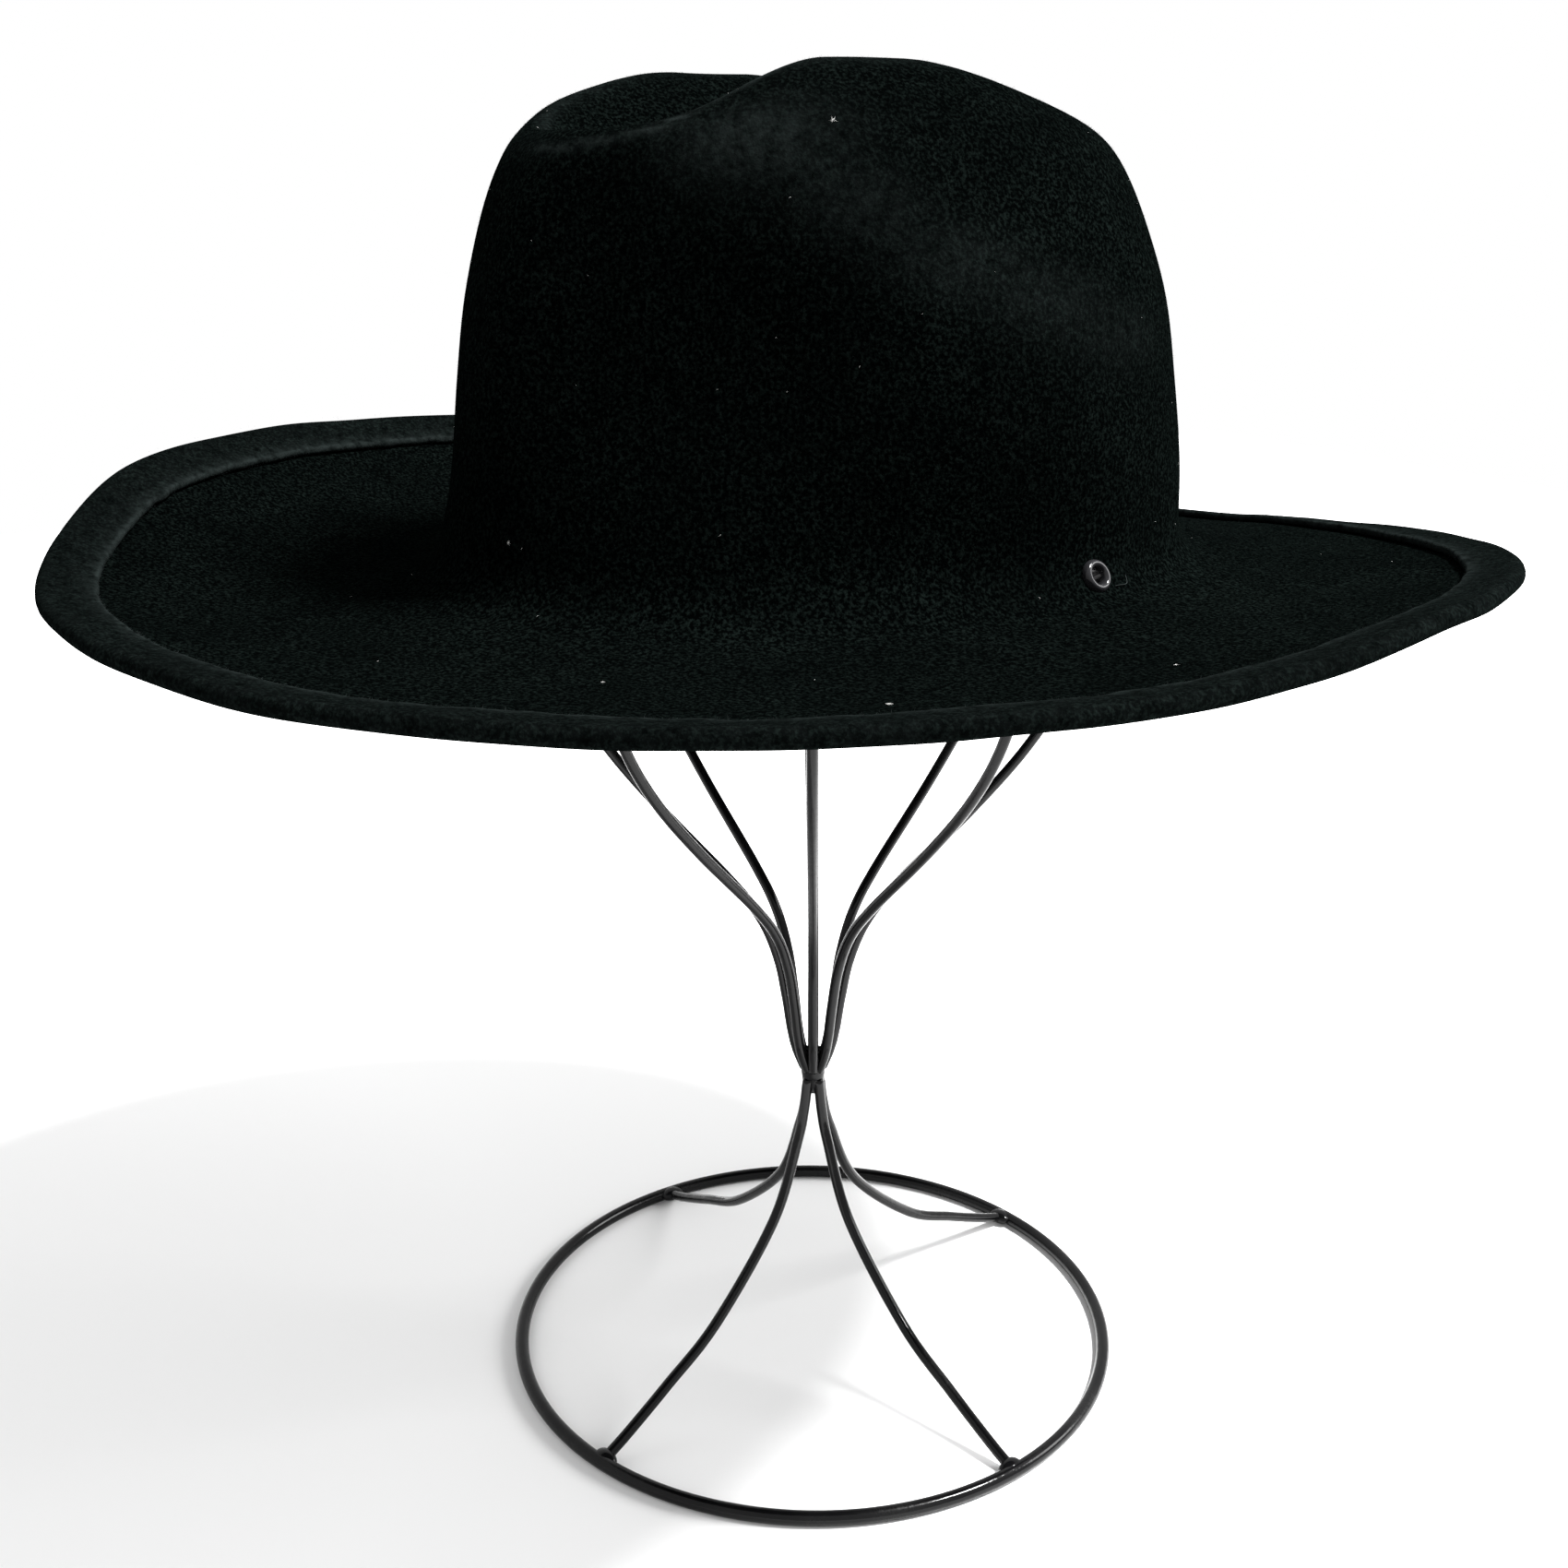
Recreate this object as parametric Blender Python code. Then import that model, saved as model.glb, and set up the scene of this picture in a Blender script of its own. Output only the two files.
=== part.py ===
"""A western fedora of black felt, resting on a wire hat stand.

The wearer's left is +X, the hat's front is -Y and +Z is up. The origin is under the
middle of the brim, on the surface that the stand's base ring rests on.
"""

from collections import namedtuple
from math import pi, radians

import bmesh
import bpy
import numpy as np
from mathutils import Matrix, Vector

# Felt hat
CROWN_LENGTH = 0.204
CROWN_WIDTH = 0.166
CROWN_HEIGHT = 0.120
BRIM_LENGTH = 0.378
BRIM_WIDTH = 0.344
BRIM_FORWARD = 0.005
BRIM_HEIGHT = 0.241
BRIM_LIFT = 0.021
BRIM_SAG = 0.004
FELT_THICKNESS = 0.0022
FOLD_WIDTH = 0.013
FOOT_FILLET = 0.009
PINCH_DEPTH = 0.014
HOLLOW_DEPTH = 0.004
RIGHT_RIDGE_LEAN = 0.55

# Eyelets
EYELET_TURN = radians(17.5)
EYELET_WAY = 1.7
EYELET_HOLE = 0.0040
EYELET_BARREL = 0.0054
EYELET_FLANGE = 0.0082
EYELET_FLANGE_THICKNESS = 0.0014
EYELET_BACK_FLANGE = 0.0074
EYELET_BACK_THICKNESS = 0.0008

# Wire stand
RING_RADIUS = 0.0882
RING_WIRE = 0.0040
LEG_WIRE = 0.0031
RIB_WIRE = 0.0030
WAIST_HEIGHT = 0.0842
WAIST_WELD_HEIGHT = 0.0099
WAIST_WELD_FOOT_RADIUS = 0.0043
WAIST_WELD_TOP_RADIUS = 0.0060
CAGE_GAP = 0.0048
CAGE_RADIUS = CROWN_WIDTH / 2 - FELT_THICKNESS - CAGE_GAP
CAGE_HEIGHT = BRIM_HEIGHT - 0.003
RIB_TURNS = tuple(radians(turn) for turn in (11.5, 65.0, 100.5, 152.0, 197.0, 234.0, 286.5, 329.5))
RIB_FOOT_RADIUS = 1.5 * len(RIB_TURNS) * RIB_WIRE / (2 * pi)
LEG_TURNS = tuple(radians(turn) for turn in (8.9, 103.2, 184.0, 289.3))
TOP_WELD_RADIUS = 0.0058
TOP_WELD_THICKNESS = 0.0040

CLEARANCE = 0.0003
STAND_AXIS_Y = BRIM_FORWARD

# Mesh fineness
FELT_COLUMNS = 56
TURNED_SIDES = 16
ROUND_SIDES = 8
RIB_SIDES = 6
RING_SEGMENTS = 48
STEP = 1e-3

# One row for each section of the crown, from its foot up over the ridge and down into the crease.
# Height and drops are shares of CROWN_HEIGHT, side of half CROWN_WIDTH,
# front and rear of half CROWN_LENGTH.
Ring = namedtuple("Ring", "height side front rear squareness front_drop rear_drop")
CROWN_RINGS = (
    Ring(0.000, 1.000, 1.000, 1.000, 2.0, 0.000, 0.000),
    Ring(0.200, 0.985, 0.955, 0.990, 2.0, 0.000, 0.000),
    Ring(0.400, 0.962, 0.925, 0.952, 2.0, 0.000, 0.000),
    Ring(0.580, 0.925, 0.893, 0.885, 2.1, 0.010, 0.010),
    Ring(0.740, 0.850, 0.842, 0.802, 2.2, 0.020, 0.020),
    Ring(0.880, 0.730, 0.775, 0.718, 2.4, 0.050, 0.060),
    Ring(0.970, 0.590, 0.716, 0.632, 2.7, 0.100, 0.115),
    Ring(1.000, 0.460, 0.672, 0.555, 3.0, 0.140, 0.160),
    Ring(0.965, 0.350, 0.630, 0.510, 3.0, 0.135, 0.150),
    Ring(0.900, 0.230, 0.580, 0.458, 2.7, 0.105, 0.110),
    Ring(0.830, 0.090, 0.520, 0.400, 2.3, 0.050, 0.060),
    Ring(0.815, 0.015, 0.490, 0.370, 2.0, 0.040, 0.050),
)

# How far the brim's edge is lifted, by the turn from the wearer's left towards the back, in degrees.
# The lift is a share of BRIM_LIFT.
Edge = namedtuple("Edge", "turn lift")
BRIM_EDGE = (
    Edge(-180, 0.75),
    Edge(-160, 0.98),
    Edge(-141, 1.05),
    Edge(-126, 0.92),
    Edge(-111, 0.46),
    Edge(-98, 0.24),
    Edge(-85, 0.23),
    Edge(-64, 0.11),
    Edge(-43, 0.09),
    Edge(-20, 0.11),
    Edge(0, 0.18),
    Edge(20, 0.37),
    Edge(45, 0.21),
    Edge(58, 0.04),
    Edge(72, -0.19),
    Edge(92, -0.50),
    Edge(109, -0.70),
    Edge(130, -0.50),
    Edge(150, 0.05),
    Edge(165, 0.42),
    Edge(180, 0.75),
)

# Hand dents, the same on both sides.
# Places and reaches are shares of half CROWN_LENGTH and of CROWN_HEIGHT.
Dent = namedtuple("Dent", "depth along reach_along up reach_up")
DENTS = (
    Dent(PINCH_DEPTH, -0.66, 0.36, 0.52, 0.33),
    Dent(HOLLOW_DEPTH, -0.12, 0.35, 0.10, 0.16),
)

# A leg's curve from the waist weld down: height is a share of its rise over the ring, radius of its
# reach to the ring. A rib's curve from the waist weld up: height is a share of its rise to CAGE_HEIGHT,
# radius of its way from RIB_FOOT_RADIUS to CAGE_RADIUS.
Bend = namedtuple("Bend", "height radius")
LEG_BENDS = (
    Bend(1.000, 0.030),
    Bend(0.900, 0.046),
    Bend(0.785, 0.080),
    Bend(0.520, 0.200),
    Bend(0.250, 0.484),
    Bend(0.125, 0.720),
    Bend(0.040, 0.900),
    Bend(0.000, 1.000),
)
RIB_BENDS = (
    Bend(0.000, 0.000),
    Bend(0.050, 0.012),
    Bend(0.115, 0.032),
    Bend(0.195, 0.065),
    Bend(0.275, 0.131),
    Bend(0.352, 0.251),
    Bend(0.505, 0.547),
    Bend(0.631, 0.761),
    Bend(0.750, 0.903),
    Bend(0.875, 0.980),
    Bend(1.000, 1.000),
)


def clear_scene():
    for item in list(bpy.data.objects):
        bpy.data.objects.remove(item, do_unlink=True)


def make_material(name, colour, roughness, metallic):
    material = bpy.data.materials.new(name)
    material.use_nodes = True
    shader = material.node_tree.nodes["Principled BSDF"]
    shader.inputs["Base Color"].default_value = (*colour, 1.0)
    shader.inputs["Roughness"].default_value = roughness
    shader.inputs["Metallic"].default_value = metallic
    material.diffuse_color = (*colour, 1.0)
    return material


def ease(low, high, value):
    """0 below low, 1 above high, and a smooth rise between them."""
    share = np.clip((value - low) / (high - low), 0.0, 1.0)
    return share * share * (3.0 - 2.0 * share)


def spline(rows, place):
    """The rows of a table joined by a smooth curve, read at a row number that may be a fraction."""
    rows = np.array(rows, float)
    last = len(rows) - 1
    place = np.clip(place, 0, last)
    first = np.minimum(place.astype(int), last - 1)
    share = (place - first)[..., None]
    start, end = rows[first], rows[first + 1]
    before = np.where((first > 0)[..., None], rows[np.maximum(first - 1, 0)], 2 * start - end)
    after = np.where((first < last - 1)[..., None], rows[np.minimum(first + 2, last)], 2 * end - start)
    bend = 2 * before - 5 * start + 4 * end - after
    twist = 3 * start - before - 3 * end + after
    return start + 0.5 * ((end - before) * share + bend * share**2 + twist * share**3)


def edge_lift(turn):
    """Height of the brim's edge over the brim's plane, at a turn round the crown."""
    table = np.array(BRIM_EDGE, float)
    degrees = (np.degrees(turn) + 180) % 360 - 180
    turns = np.concatenate([table[-3:-1, :1] - [[360]], table[:, :1], table[1:3, :1] + [[360]]]).ravel()
    lifts = np.concatenate([table[-3:-1, 1], table[:, 1], table[1:3, 1]])
    slopes = np.gradient(lifts, turns)
    at = np.clip(np.searchsorted(turns, degrees, side="right") - 1, 0, len(turns) - 2)
    span = turns[at + 1] - turns[at]
    share = (degrees - turns[at]) / span
    rise = share * share * (3 - 2 * share)
    leave = share * (1 - share) ** 2 * span * slopes[at]
    arrive = share * share * (1 - share) * span * slopes[at + 1]
    return BRIM_LIFT * (lifts[at] * (1 - rise) + lifts[at + 1] * rise + leave - arrive)


def signed_power(value, power):
    return np.sign(value) * np.abs(value) ** power


def undented_crown(turn, row):
    """A point of the crown over the brim's plane, at a turn and a row number of CROWN_RINGS."""
    ring = np.moveaxis(spline(CROWN_RINGS, row), -1, 0)
    height, side, front, rear, squareness, front_drop, rear_drop = ring
    across = signed_power(np.cos(turn), 2 / squareness)
    along = signed_power(np.sin(turn), 2 / squareness)
    x = CROWN_WIDTH / 2 * side * across
    y = CROWN_LENGTH / 2 * np.where(along < 0, front, rear) * along
    lean = 1 - RIGHT_RIDGE_LEAN * ease(0.0, 1.0, -across)
    front_fall = front_drop * lean * ease(0.3, 1.0, -along)
    rear_fall = rear_drop * np.clip(along, 0, 1) ** 1.6
    z = CROWN_HEIGHT * (height - np.where(along < 0, front_fall, rear_fall))
    return np.stack([x, y, z], -1)


def crown(turn, row):
    """The crown with its dents pressed in towards its axis."""
    points = undented_crown(turn, row)
    x, y, z = np.moveaxis(points, -1, 0)
    toward = np.stack([x, 0.5 * y, np.zeros_like(x)], -1)
    toward = toward / (np.linalg.norm(toward, axis=-1, keepdims=True) + 1e-9)
    sideways = ease(0.1, 0.45, np.abs(x) / (CROWN_WIDTH / 2))
    for dent in DENTS:
        along = (y / (CROWN_LENGTH / 2) - dent.along) / dent.reach_along
        up = (z / CROWN_HEIGHT - dent.up) / dent.reach_up
        press = dent.depth * np.exp(-(along**2 + up**2)) * sideways
        points = points - toward * press[..., None]
    return points


def first_ring_row():
    """The row number at the fillet's height on the crown's wall."""
    return FOOT_FILLET / (CROWN_HEIGHT * CROWN_RINGS[1].height)


def brim_run(turn):
    """Plan distance from the brim's edge to the crown's foot."""
    foot = undented_crown(turn, np.zeros_like(turn))
    edge_x = BRIM_WIDTH / 2 * np.cos(turn)
    edge_y = BRIM_LENGTH / 2 * np.sin(turn) - BRIM_FORWARD
    return np.hypot(edge_x - foot[..., 0], edge_y - foot[..., 1])


def brim(turn, share):
    """The brim's top, from the crown's foot at share 0 to its edge at share 1."""
    foot = undented_crown(turn, np.zeros_like(turn))
    edge_x = BRIM_WIDTH / 2 * np.cos(turn)
    edge_y = BRIM_LENGTH / 2 * np.sin(turn) - BRIM_FORWARD
    sag = BRIM_SAG * 4 * share * (1 - share)
    x = foot[..., 0] + (edge_x - foot[..., 0]) * share
    y = foot[..., 1] + (edge_y - foot[..., 1]) * share
    z = edge_lift(turn) * share**2 - sag
    return np.stack([x, y, z], -1)


def sheet(turn, way):
    """Top of the felt.

    Way 0 to 1 crosses the brim inwards, 1 to 2 rounds the foot, past 2 climbs the rings.
    """
    turn, way = np.broadcast_arrays(np.asarray(turn, float), np.asarray(way, float))
    fillet_share = FOOT_FILLET / brim_run(turn)
    foot_row = np.full_like(way, first_ring_row())
    flat = brim(turn, fillet_share + (1 - fillet_share) * (1 - np.clip(way, 0, 1)))
    bend = np.clip(way - 1, 0, 1)[..., None]
    low = brim(turn, fillet_share)
    corner = undented_crown(turn, np.zeros_like(way))
    high = crown(turn, foot_row)
    fillet = (1 - bend) ** 2 * low + 2 * bend * (1 - bend) * corner + bend**2 * high
    wall = crown(turn, foot_row + np.clip(way - 2, 0, None))
    points = np.where((way <= 1)[..., None], flat, np.where((way < 2)[..., None], fillet, wall))
    return points + np.array([0.0, STAND_AXIS_Y, BRIM_HEIGHT])


def unit(vectors):
    return vectors / np.linalg.norm(vectors, axis=-1, keepdims=True)


def felt_frame(turn, way):
    """A point of the felt's top with its normal and its direction out towards the brim's edge."""
    round_way = sheet(turn + STEP, way) - sheet(turn - STEP, way)
    inwards = sheet(turn, way + STEP) - sheet(turn, way - STEP)
    normal = unit(np.cross(round_way, inwards))
    return sheet(turn, way), normal, -unit(inwards)


def last_way():
    return 2 + len(CROWN_RINGS) - 1 - first_ring_row() - 2 * STEP


def felt_row(turn, way, above=0.0, past=0.0):
    """One closed row of points on the felt, offset above its top and past its place."""
    points, normal, outwards = felt_frame(turn, way)
    return points + above * normal + past * outwards


def felt_rows(turn):
    """The rows of the felt's skin, from the crease's top over the brim's edge to its underside."""
    crown_ways = np.linspace(last_way(), 2, 20)
    inner_crown_ways = np.linspace(2, last_way(), 16)
    fillet_ways = (1.67, 1.33, 1.0)
    run = brim_run(turn) - FOOT_FILLET
    fold_way = FOLD_WIDTH / run
    edge_way = FELT_THICKNESS / run
    rows = [felt_row(turn, np.full_like(turn, way)) for way in crown_ways]
    rows += [felt_row(turn, np.full_like(turn, way)) for way in fillet_ways]
    for share in (0.25, 0.5, 0.75):
        rows.append(felt_row(turn, 1 - share * (1 - fold_way)))
    rows.append(felt_row(turn, fold_way, past=-0.2 * FELT_THICKNESS))
    rows.append(felt_row(turn, fold_way, above=FELT_THICKNESS))
    rows.append(felt_row(turn, 0.5 * (fold_way + edge_way), above=FELT_THICKNESS))
    for bend in np.linspace(np.pi / 2, -np.pi / 2, 5):
        above = FELT_THICKNESS * np.sin(bend)
        past = FELT_THICKNESS * np.cos(bend)
        rows.append(felt_row(turn, edge_way, above, past))
    for share in (0.8, 0.5, 0.25):
        rows.append(felt_row(turn, 1 - share * (1 - edge_way), above=-FELT_THICKNESS))
    rows += [felt_row(turn, np.full_like(turn, way), above=-FELT_THICKNESS) for way in fillet_ways[::-1]]
    rows += [felt_row(turn, np.full_like(turn, way), above=-FELT_THICKNESS) for way in inner_crown_ways]
    return rows


def seal_crease(mesh, row, upwards):
    """Close a row whose two sides face each other across the crease."""
    count = len(row)
    front, half = -count // 4, count // 2
    for step in range(half):
        here = front + step
        near, ahead = row[here % count], row[(here + 1) % count]
        across, across_ahead = row[(half - here) % count], row[(half - here - 1) % count]
        corners = [near, ahead, across_ahead, across]
        corners = [corner for place, corner in enumerate(corners) if corner not in corners[:place]]
        mesh.faces.new(corners if upwards else corners[::-1])


def new_object(name, mesh, material):
    data = bpy.data.meshes.new(name)
    bmesh.ops.recalc_face_normals(mesh, faces=mesh.faces)
    mesh.to_mesh(data)
    mesh.free()
    data.materials.append(material)
    data.shade_smooth()
    data.set_sharp_from_angle(angle=radians(40))
    item = bpy.data.objects.new(name, data)
    bpy.context.scene.collection.objects.link(item)
    return item


def join_rows(mesh, rows):
    """Quads between each closed row of corners and the next."""
    for row, following in zip(rows, rows[1:]):
        for place in range(len(row)):
            ahead = (place + 1) % len(row)
            mesh.faces.new([row[place], row[ahead], following[ahead], following[place]])


def make_felt_hat(material):
    turn = np.arange(FELT_COLUMNS) * 2 * np.pi / FELT_COLUMNS
    mesh = bmesh.new()
    rows = [[mesh.verts.new(point) for point in row] for row in felt_rows(turn)]
    join_rows(mesh, rows)
    seal_crease(mesh, rows[0], upwards=True)
    seal_crease(mesh, rows[-1], upwards=False)
    return new_object("felt_hat", mesh, material)


def eyelet_profile():
    """Radius and height pairs round an eyelet's section, its height measured from the felt's top."""
    hole = EYELET_HOLE / 2
    barrel = EYELET_BARREL / 2
    flange = EYELET_FLANGE / 2
    back = EYELET_BACK_FLANGE / 2
    front_seat = CLEARANCE
    front_top = front_seat + EYELET_FLANGE_THICKNESS
    back_seat = -FELT_THICKNESS - CLEARANCE
    back_top = back_seat - EYELET_BACK_THICKNESS
    lip = 0.35 * EYELET_FLANGE_THICKNESS
    return (
        (hole, back_top),
        (back - lip, back_top),
        (back, 0.5 * (back_top + back_seat)),
        (back - lip, back_seat),
        (barrel, back_seat),
        (barrel, front_seat),
        (flange - lip, front_seat),
        (flange, front_seat + lip),
        (flange, front_top - lip),
        (flange - lip, front_top),
        (hole + lip, front_top),
        (hole, front_top - lip),
    )


def turned(name, profile, material):
    """A solid turned about Z from the pairs of a closed section; pairs at radius 0 lie on the axis."""
    sides = TURNED_SIDES
    mesh = bmesh.new()
    angles = np.arange(sides) * 2 * np.pi / sides
    rings = []
    for radius, height in profile:
        if radius > 0:
            ring = [mesh.verts.new((radius * np.cos(a), radius * np.sin(a), height)) for a in angles]
        else:
            ring = [mesh.verts.new((0, 0, height))] * sides
        rings.append(ring)
    closed = profile[0][0] > 0
    for ring, following in zip(rings, rings[1:] + (rings[:1] if closed else [])):
        for place in range(sides):
            ahead = (place + 1) % sides
            corners = [ring[place], ring[ahead], following[ahead], following[place]]
            corners = [corner for spot, corner in enumerate(corners) if corner not in corners[:spot]]
            if len(corners) > 2:
                mesh.faces.new(corners)
    return new_object(name, mesh, material)


def eyelet_place(turn):
    """The matrix that stands an eyelet on the rounded foot of the crown, square to the felt."""
    point, normal, outwards = felt_frame(np.array([turn]), np.array([EYELET_WAY]))
    z_axis = Vector(normal[0])
    x_axis = Vector(outwards[0])
    y_axis = z_axis.cross(x_axis)
    turn_matrix = Matrix((x_axis, y_axis, z_axis)).transposed().to_4x4()
    return Matrix.Translation(Vector(point[0])) @ turn_matrix


def cut(target, cutter):
    cutter.hide_render = True
    cutter.display_type = "WIRE"
    difference = target.modifiers.new("cut " + cutter.name, "BOOLEAN")
    difference.operation = "DIFFERENCE"
    difference.solver = "EXACT"
    difference.object = cutter


def make_eyelets(felt_hat, material):
    for side, turn in (("left", EYELET_TURN), ("right", np.pi - EYELET_TURN)):
        place = eyelet_place(turn)
        eyelet = turned("eyelet_" + side, eyelet_profile(), material)
        eyelet.matrix_world = place
        hole = (
            (0.0, -3 * FELT_THICKNESS),
            (EYELET_BARREL / 2 + CLEARANCE, -3 * FELT_THICKNESS),
            (EYELET_BARREL / 2 + CLEARANCE, 0.0),
            (EYELET_FLANGE / 2 + CLEARANCE, 0.0),
            (EYELET_FLANGE / 2 + CLEARANCE, 3 * EYELET_FLANGE_THICKNESS),
            (0.0, 3 * EYELET_FLANGE_THICKNESS),
        )
        cutter = turned("eyelet_hole_" + side, hole, material)
        cutter.matrix_world = place
        cut(felt_hat, cutter)


def wire(name, rings, material, closed=False):
    """A tube through rings of points, capped at its ends unless it closes on itself."""
    mesh = bmesh.new()
    rows = [[mesh.verts.new(point) for point in ring] for ring in rings]
    join_rows(mesh, rows + rows[:1] if closed else rows)
    if not closed:
        mesh.faces.new(rows[0])
        mesh.faces.new(rows[-1])
    return new_object(name, mesh, material)


def bent_wire(name, curve, turn, thickness, sides, ends, material):
    """A wire bent in the upright plane at a turn round the stand's axis.

    Its two ends are cut square to the directions in ends, pairs of out and up.
    """
    heights, radii = curve
    outwards = np.array([np.cos(turn), np.sin(turn), 0.0])
    sideways = np.array([-np.sin(turn), np.cos(turn), 0.0])
    upwards = np.array([0.0, 0.0, 1.0])
    path = radii[:, None] * outwards + heights[:, None] * upwards + np.array([0.0, STAND_AXIS_Y, 0.0])
    along = unit(np.gradient(path, axis=0))
    for place, (out, up) in zip((0, -1), ends):
        along[place] = out * outwards + up * upwards
    across = np.cross(sideways, along)
    angles = (np.arange(sides) + 0.5) * 2 * np.pi / sides
    rings = [
        [spot + thickness / 2 * (np.cos(a) * sideways + np.sin(a) * normal) for a in angles]
        for spot, normal in zip(path, across)
    ]
    return wire(name, rings, material)


def leg_curve():
    """Heights and radii of a leg, from the waist weld's foot to the inner side of the ring."""
    bends = spline(LEG_BENDS, np.linspace(0, len(LEG_BENDS) - 1, 15))
    foot = ring_centre_height()
    rise = WAIST_HEIGHT - CLEARANCE - foot
    reach = RING_RADIUS - RING_WIRE / 2 - CLEARANCE
    return foot + rise * bends[:, 0], reach * bends[:, 1]


def crease_underside():
    """Lowest height of the felt's underside over the stand's top weld."""
    turn = np.linspace(0, 2 * np.pi, 8 * FELT_COLUMNS)
    row = felt_row(turn, np.full_like(turn, last_way()), above=-FELT_THICKNESS)
    over_weld = np.hypot(row[:, 0], row[:, 1] - STAND_AXIS_Y) < TOP_WELD_RADIUS
    return row[over_weld, 2].min()


def stand_top():
    return crease_underside() - CLEARANCE


def rib_curve():
    """Heights and radii of a rib: flared up from the waist weld, then domed over to the top weld."""
    foot = WAIST_HEIGHT + WAIST_WELD_HEIGHT + CLEARANCE
    bends = spline(RIB_BENDS, np.linspace(0, len(RIB_BENDS) - 1, 18))
    heights = foot + (CAGE_HEIGHT - foot) * bends[:, 0]
    radii = RIB_FOOT_RADIUS + (CAGE_RADIUS - RIB_FOOT_RADIUS) * bends[:, 1]
    dome_rise = stand_top() - TOP_WELD_THICKNESS / 2 - CAGE_HEIGHT
    last_bend = np.arccos((TOP_WELD_RADIUS + CLEARANCE) / CAGE_RADIUS)
    bend = np.linspace(0, last_bend, 9)[1:]
    dome_heights = CAGE_HEIGHT + dome_rise * np.sin(bend) / np.sin(last_bend)
    return np.append(heights, dome_heights), np.append(radii, CAGE_RADIUS * np.cos(bend))


def ring_centre_height():
    """The base ring's wire stands on a flat of its own."""
    return RING_WIRE / 2 * np.cos(np.pi / ROUND_SIDES)


def make_base_ring(material):
    angles = (np.arange(ROUND_SIDES) + 0.5) * 2 * np.pi / ROUND_SIDES
    rings = []
    for turn in np.arange(RING_SEGMENTS) * 2 * np.pi / RING_SEGMENTS:
        radii = RING_RADIUS + RING_WIRE / 2 * np.cos(angles)
        heights = ring_centre_height() + RING_WIRE / 2 * np.sin(angles)
        ring = [(r * np.cos(turn), r * np.sin(turn) + STAND_AXIS_Y, z) for r, z in zip(radii, heights)]
        rings.append(ring)
    return wire("base_ring", rings, material, closed=True)


def make_weld(name, foot, height, radii, material):
    """A round weld about the stand's axis, with radii for its foot and its top, its edges taken off."""
    foot_radius, top_radius = radii
    edge = 0.15 * height
    profile = (
        (0.0, foot),
        (0.8 * foot_radius, foot),
        (foot_radius, foot + edge),
        (top_radius, foot + height - edge),
        (0.8 * top_radius, foot + height),
        (0.0, foot + height),
    )
    weld = turned(name, profile, material)
    weld.location.y = STAND_AXIS_Y
    return weld


def make_wire_stand(material):
    """Base ring, four legs, waist weld, eight ribs and top weld.

    Each wire ends a clearance short of its weld.
    """
    make_base_ring(material)
    waist_radii = (WAIST_WELD_FOOT_RADIUS, WAIST_WELD_TOP_RADIUS)
    make_weld("waist_weld", WAIST_HEIGHT, WAIST_WELD_HEIGHT, waist_radii, material)
    top_radii = (TOP_WELD_RADIUS, TOP_WELD_RADIUS)
    make_weld("top_weld", stand_top() - TOP_WELD_THICKNESS, TOP_WELD_THICKNESS, top_radii, material)
    down_then_out = ((0, -1), (1, 0))
    up_then_in = ((0, 1), (-1, 0))
    for number, turn in enumerate(LEG_TURNS, 1):
        bent_wire(f"leg_{number}", leg_curve(), turn, LEG_WIRE, ROUND_SIDES, down_then_out, material)
    for number, turn in enumerate(RIB_TURNS, 1):
        bent_wire(f"rib_{number}", rib_curve(), turn, RIB_WIRE, RIB_SIDES, up_then_in, material)


def main():
    clear_scene()
    felt = make_material("black felt", (0.012, 0.014, 0.014), 0.95, 0.0)
    lacquer = make_material("black lacquered wire", (0.010, 0.010, 0.011), 0.18, 0.0)
    eyelet_metal = make_material("black eyelet metal", (0.015, 0.015, 0.016), 0.25, 0.8)
    felt_hat = make_felt_hat(felt)
    make_eyelets(felt_hat, eyelet_metal)
    make_wire_stand(lacquer)


main()
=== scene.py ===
from collections import namedtuple
from math import radians

import bmesh
import bpy
import numpy as np
from bpy.props import FloatProperty, FloatVectorProperty, IntProperty, PointerProperty
from bpy.types import Operator, Panel, PropertyGroup
from mathutils import Matrix, Vector


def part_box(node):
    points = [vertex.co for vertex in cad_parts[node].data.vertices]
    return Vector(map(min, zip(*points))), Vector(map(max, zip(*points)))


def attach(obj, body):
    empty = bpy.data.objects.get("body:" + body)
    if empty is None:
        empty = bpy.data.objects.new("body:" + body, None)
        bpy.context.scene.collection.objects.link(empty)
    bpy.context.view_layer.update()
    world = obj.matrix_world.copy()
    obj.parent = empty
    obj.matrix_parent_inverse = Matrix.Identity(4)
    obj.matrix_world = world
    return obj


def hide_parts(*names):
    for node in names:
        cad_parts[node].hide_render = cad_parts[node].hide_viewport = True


bl_info = {
    "name": "Western fedora on a wire hat stand",
    "version": (1, 0, 0),
    "blender": (4, 5, 0),
    "location": "View3D > Sidebar > Hat",
    "description": "Black felt western fedora with a folded brim edge, resting on a gloss black wire stand",
    "category": "Add Mesh",
}

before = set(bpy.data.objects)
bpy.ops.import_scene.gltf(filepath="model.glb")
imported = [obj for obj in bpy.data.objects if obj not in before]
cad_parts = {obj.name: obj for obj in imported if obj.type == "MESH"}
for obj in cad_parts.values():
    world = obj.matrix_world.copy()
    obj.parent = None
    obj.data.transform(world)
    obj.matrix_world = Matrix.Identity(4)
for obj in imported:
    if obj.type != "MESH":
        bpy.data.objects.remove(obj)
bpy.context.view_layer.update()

# Steps for slopes and seeds for everything scattered
STEP = 1e-3
NAP_SEED = 11
FUZZ_SEED = 23
LINT_SEED = 31

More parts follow.
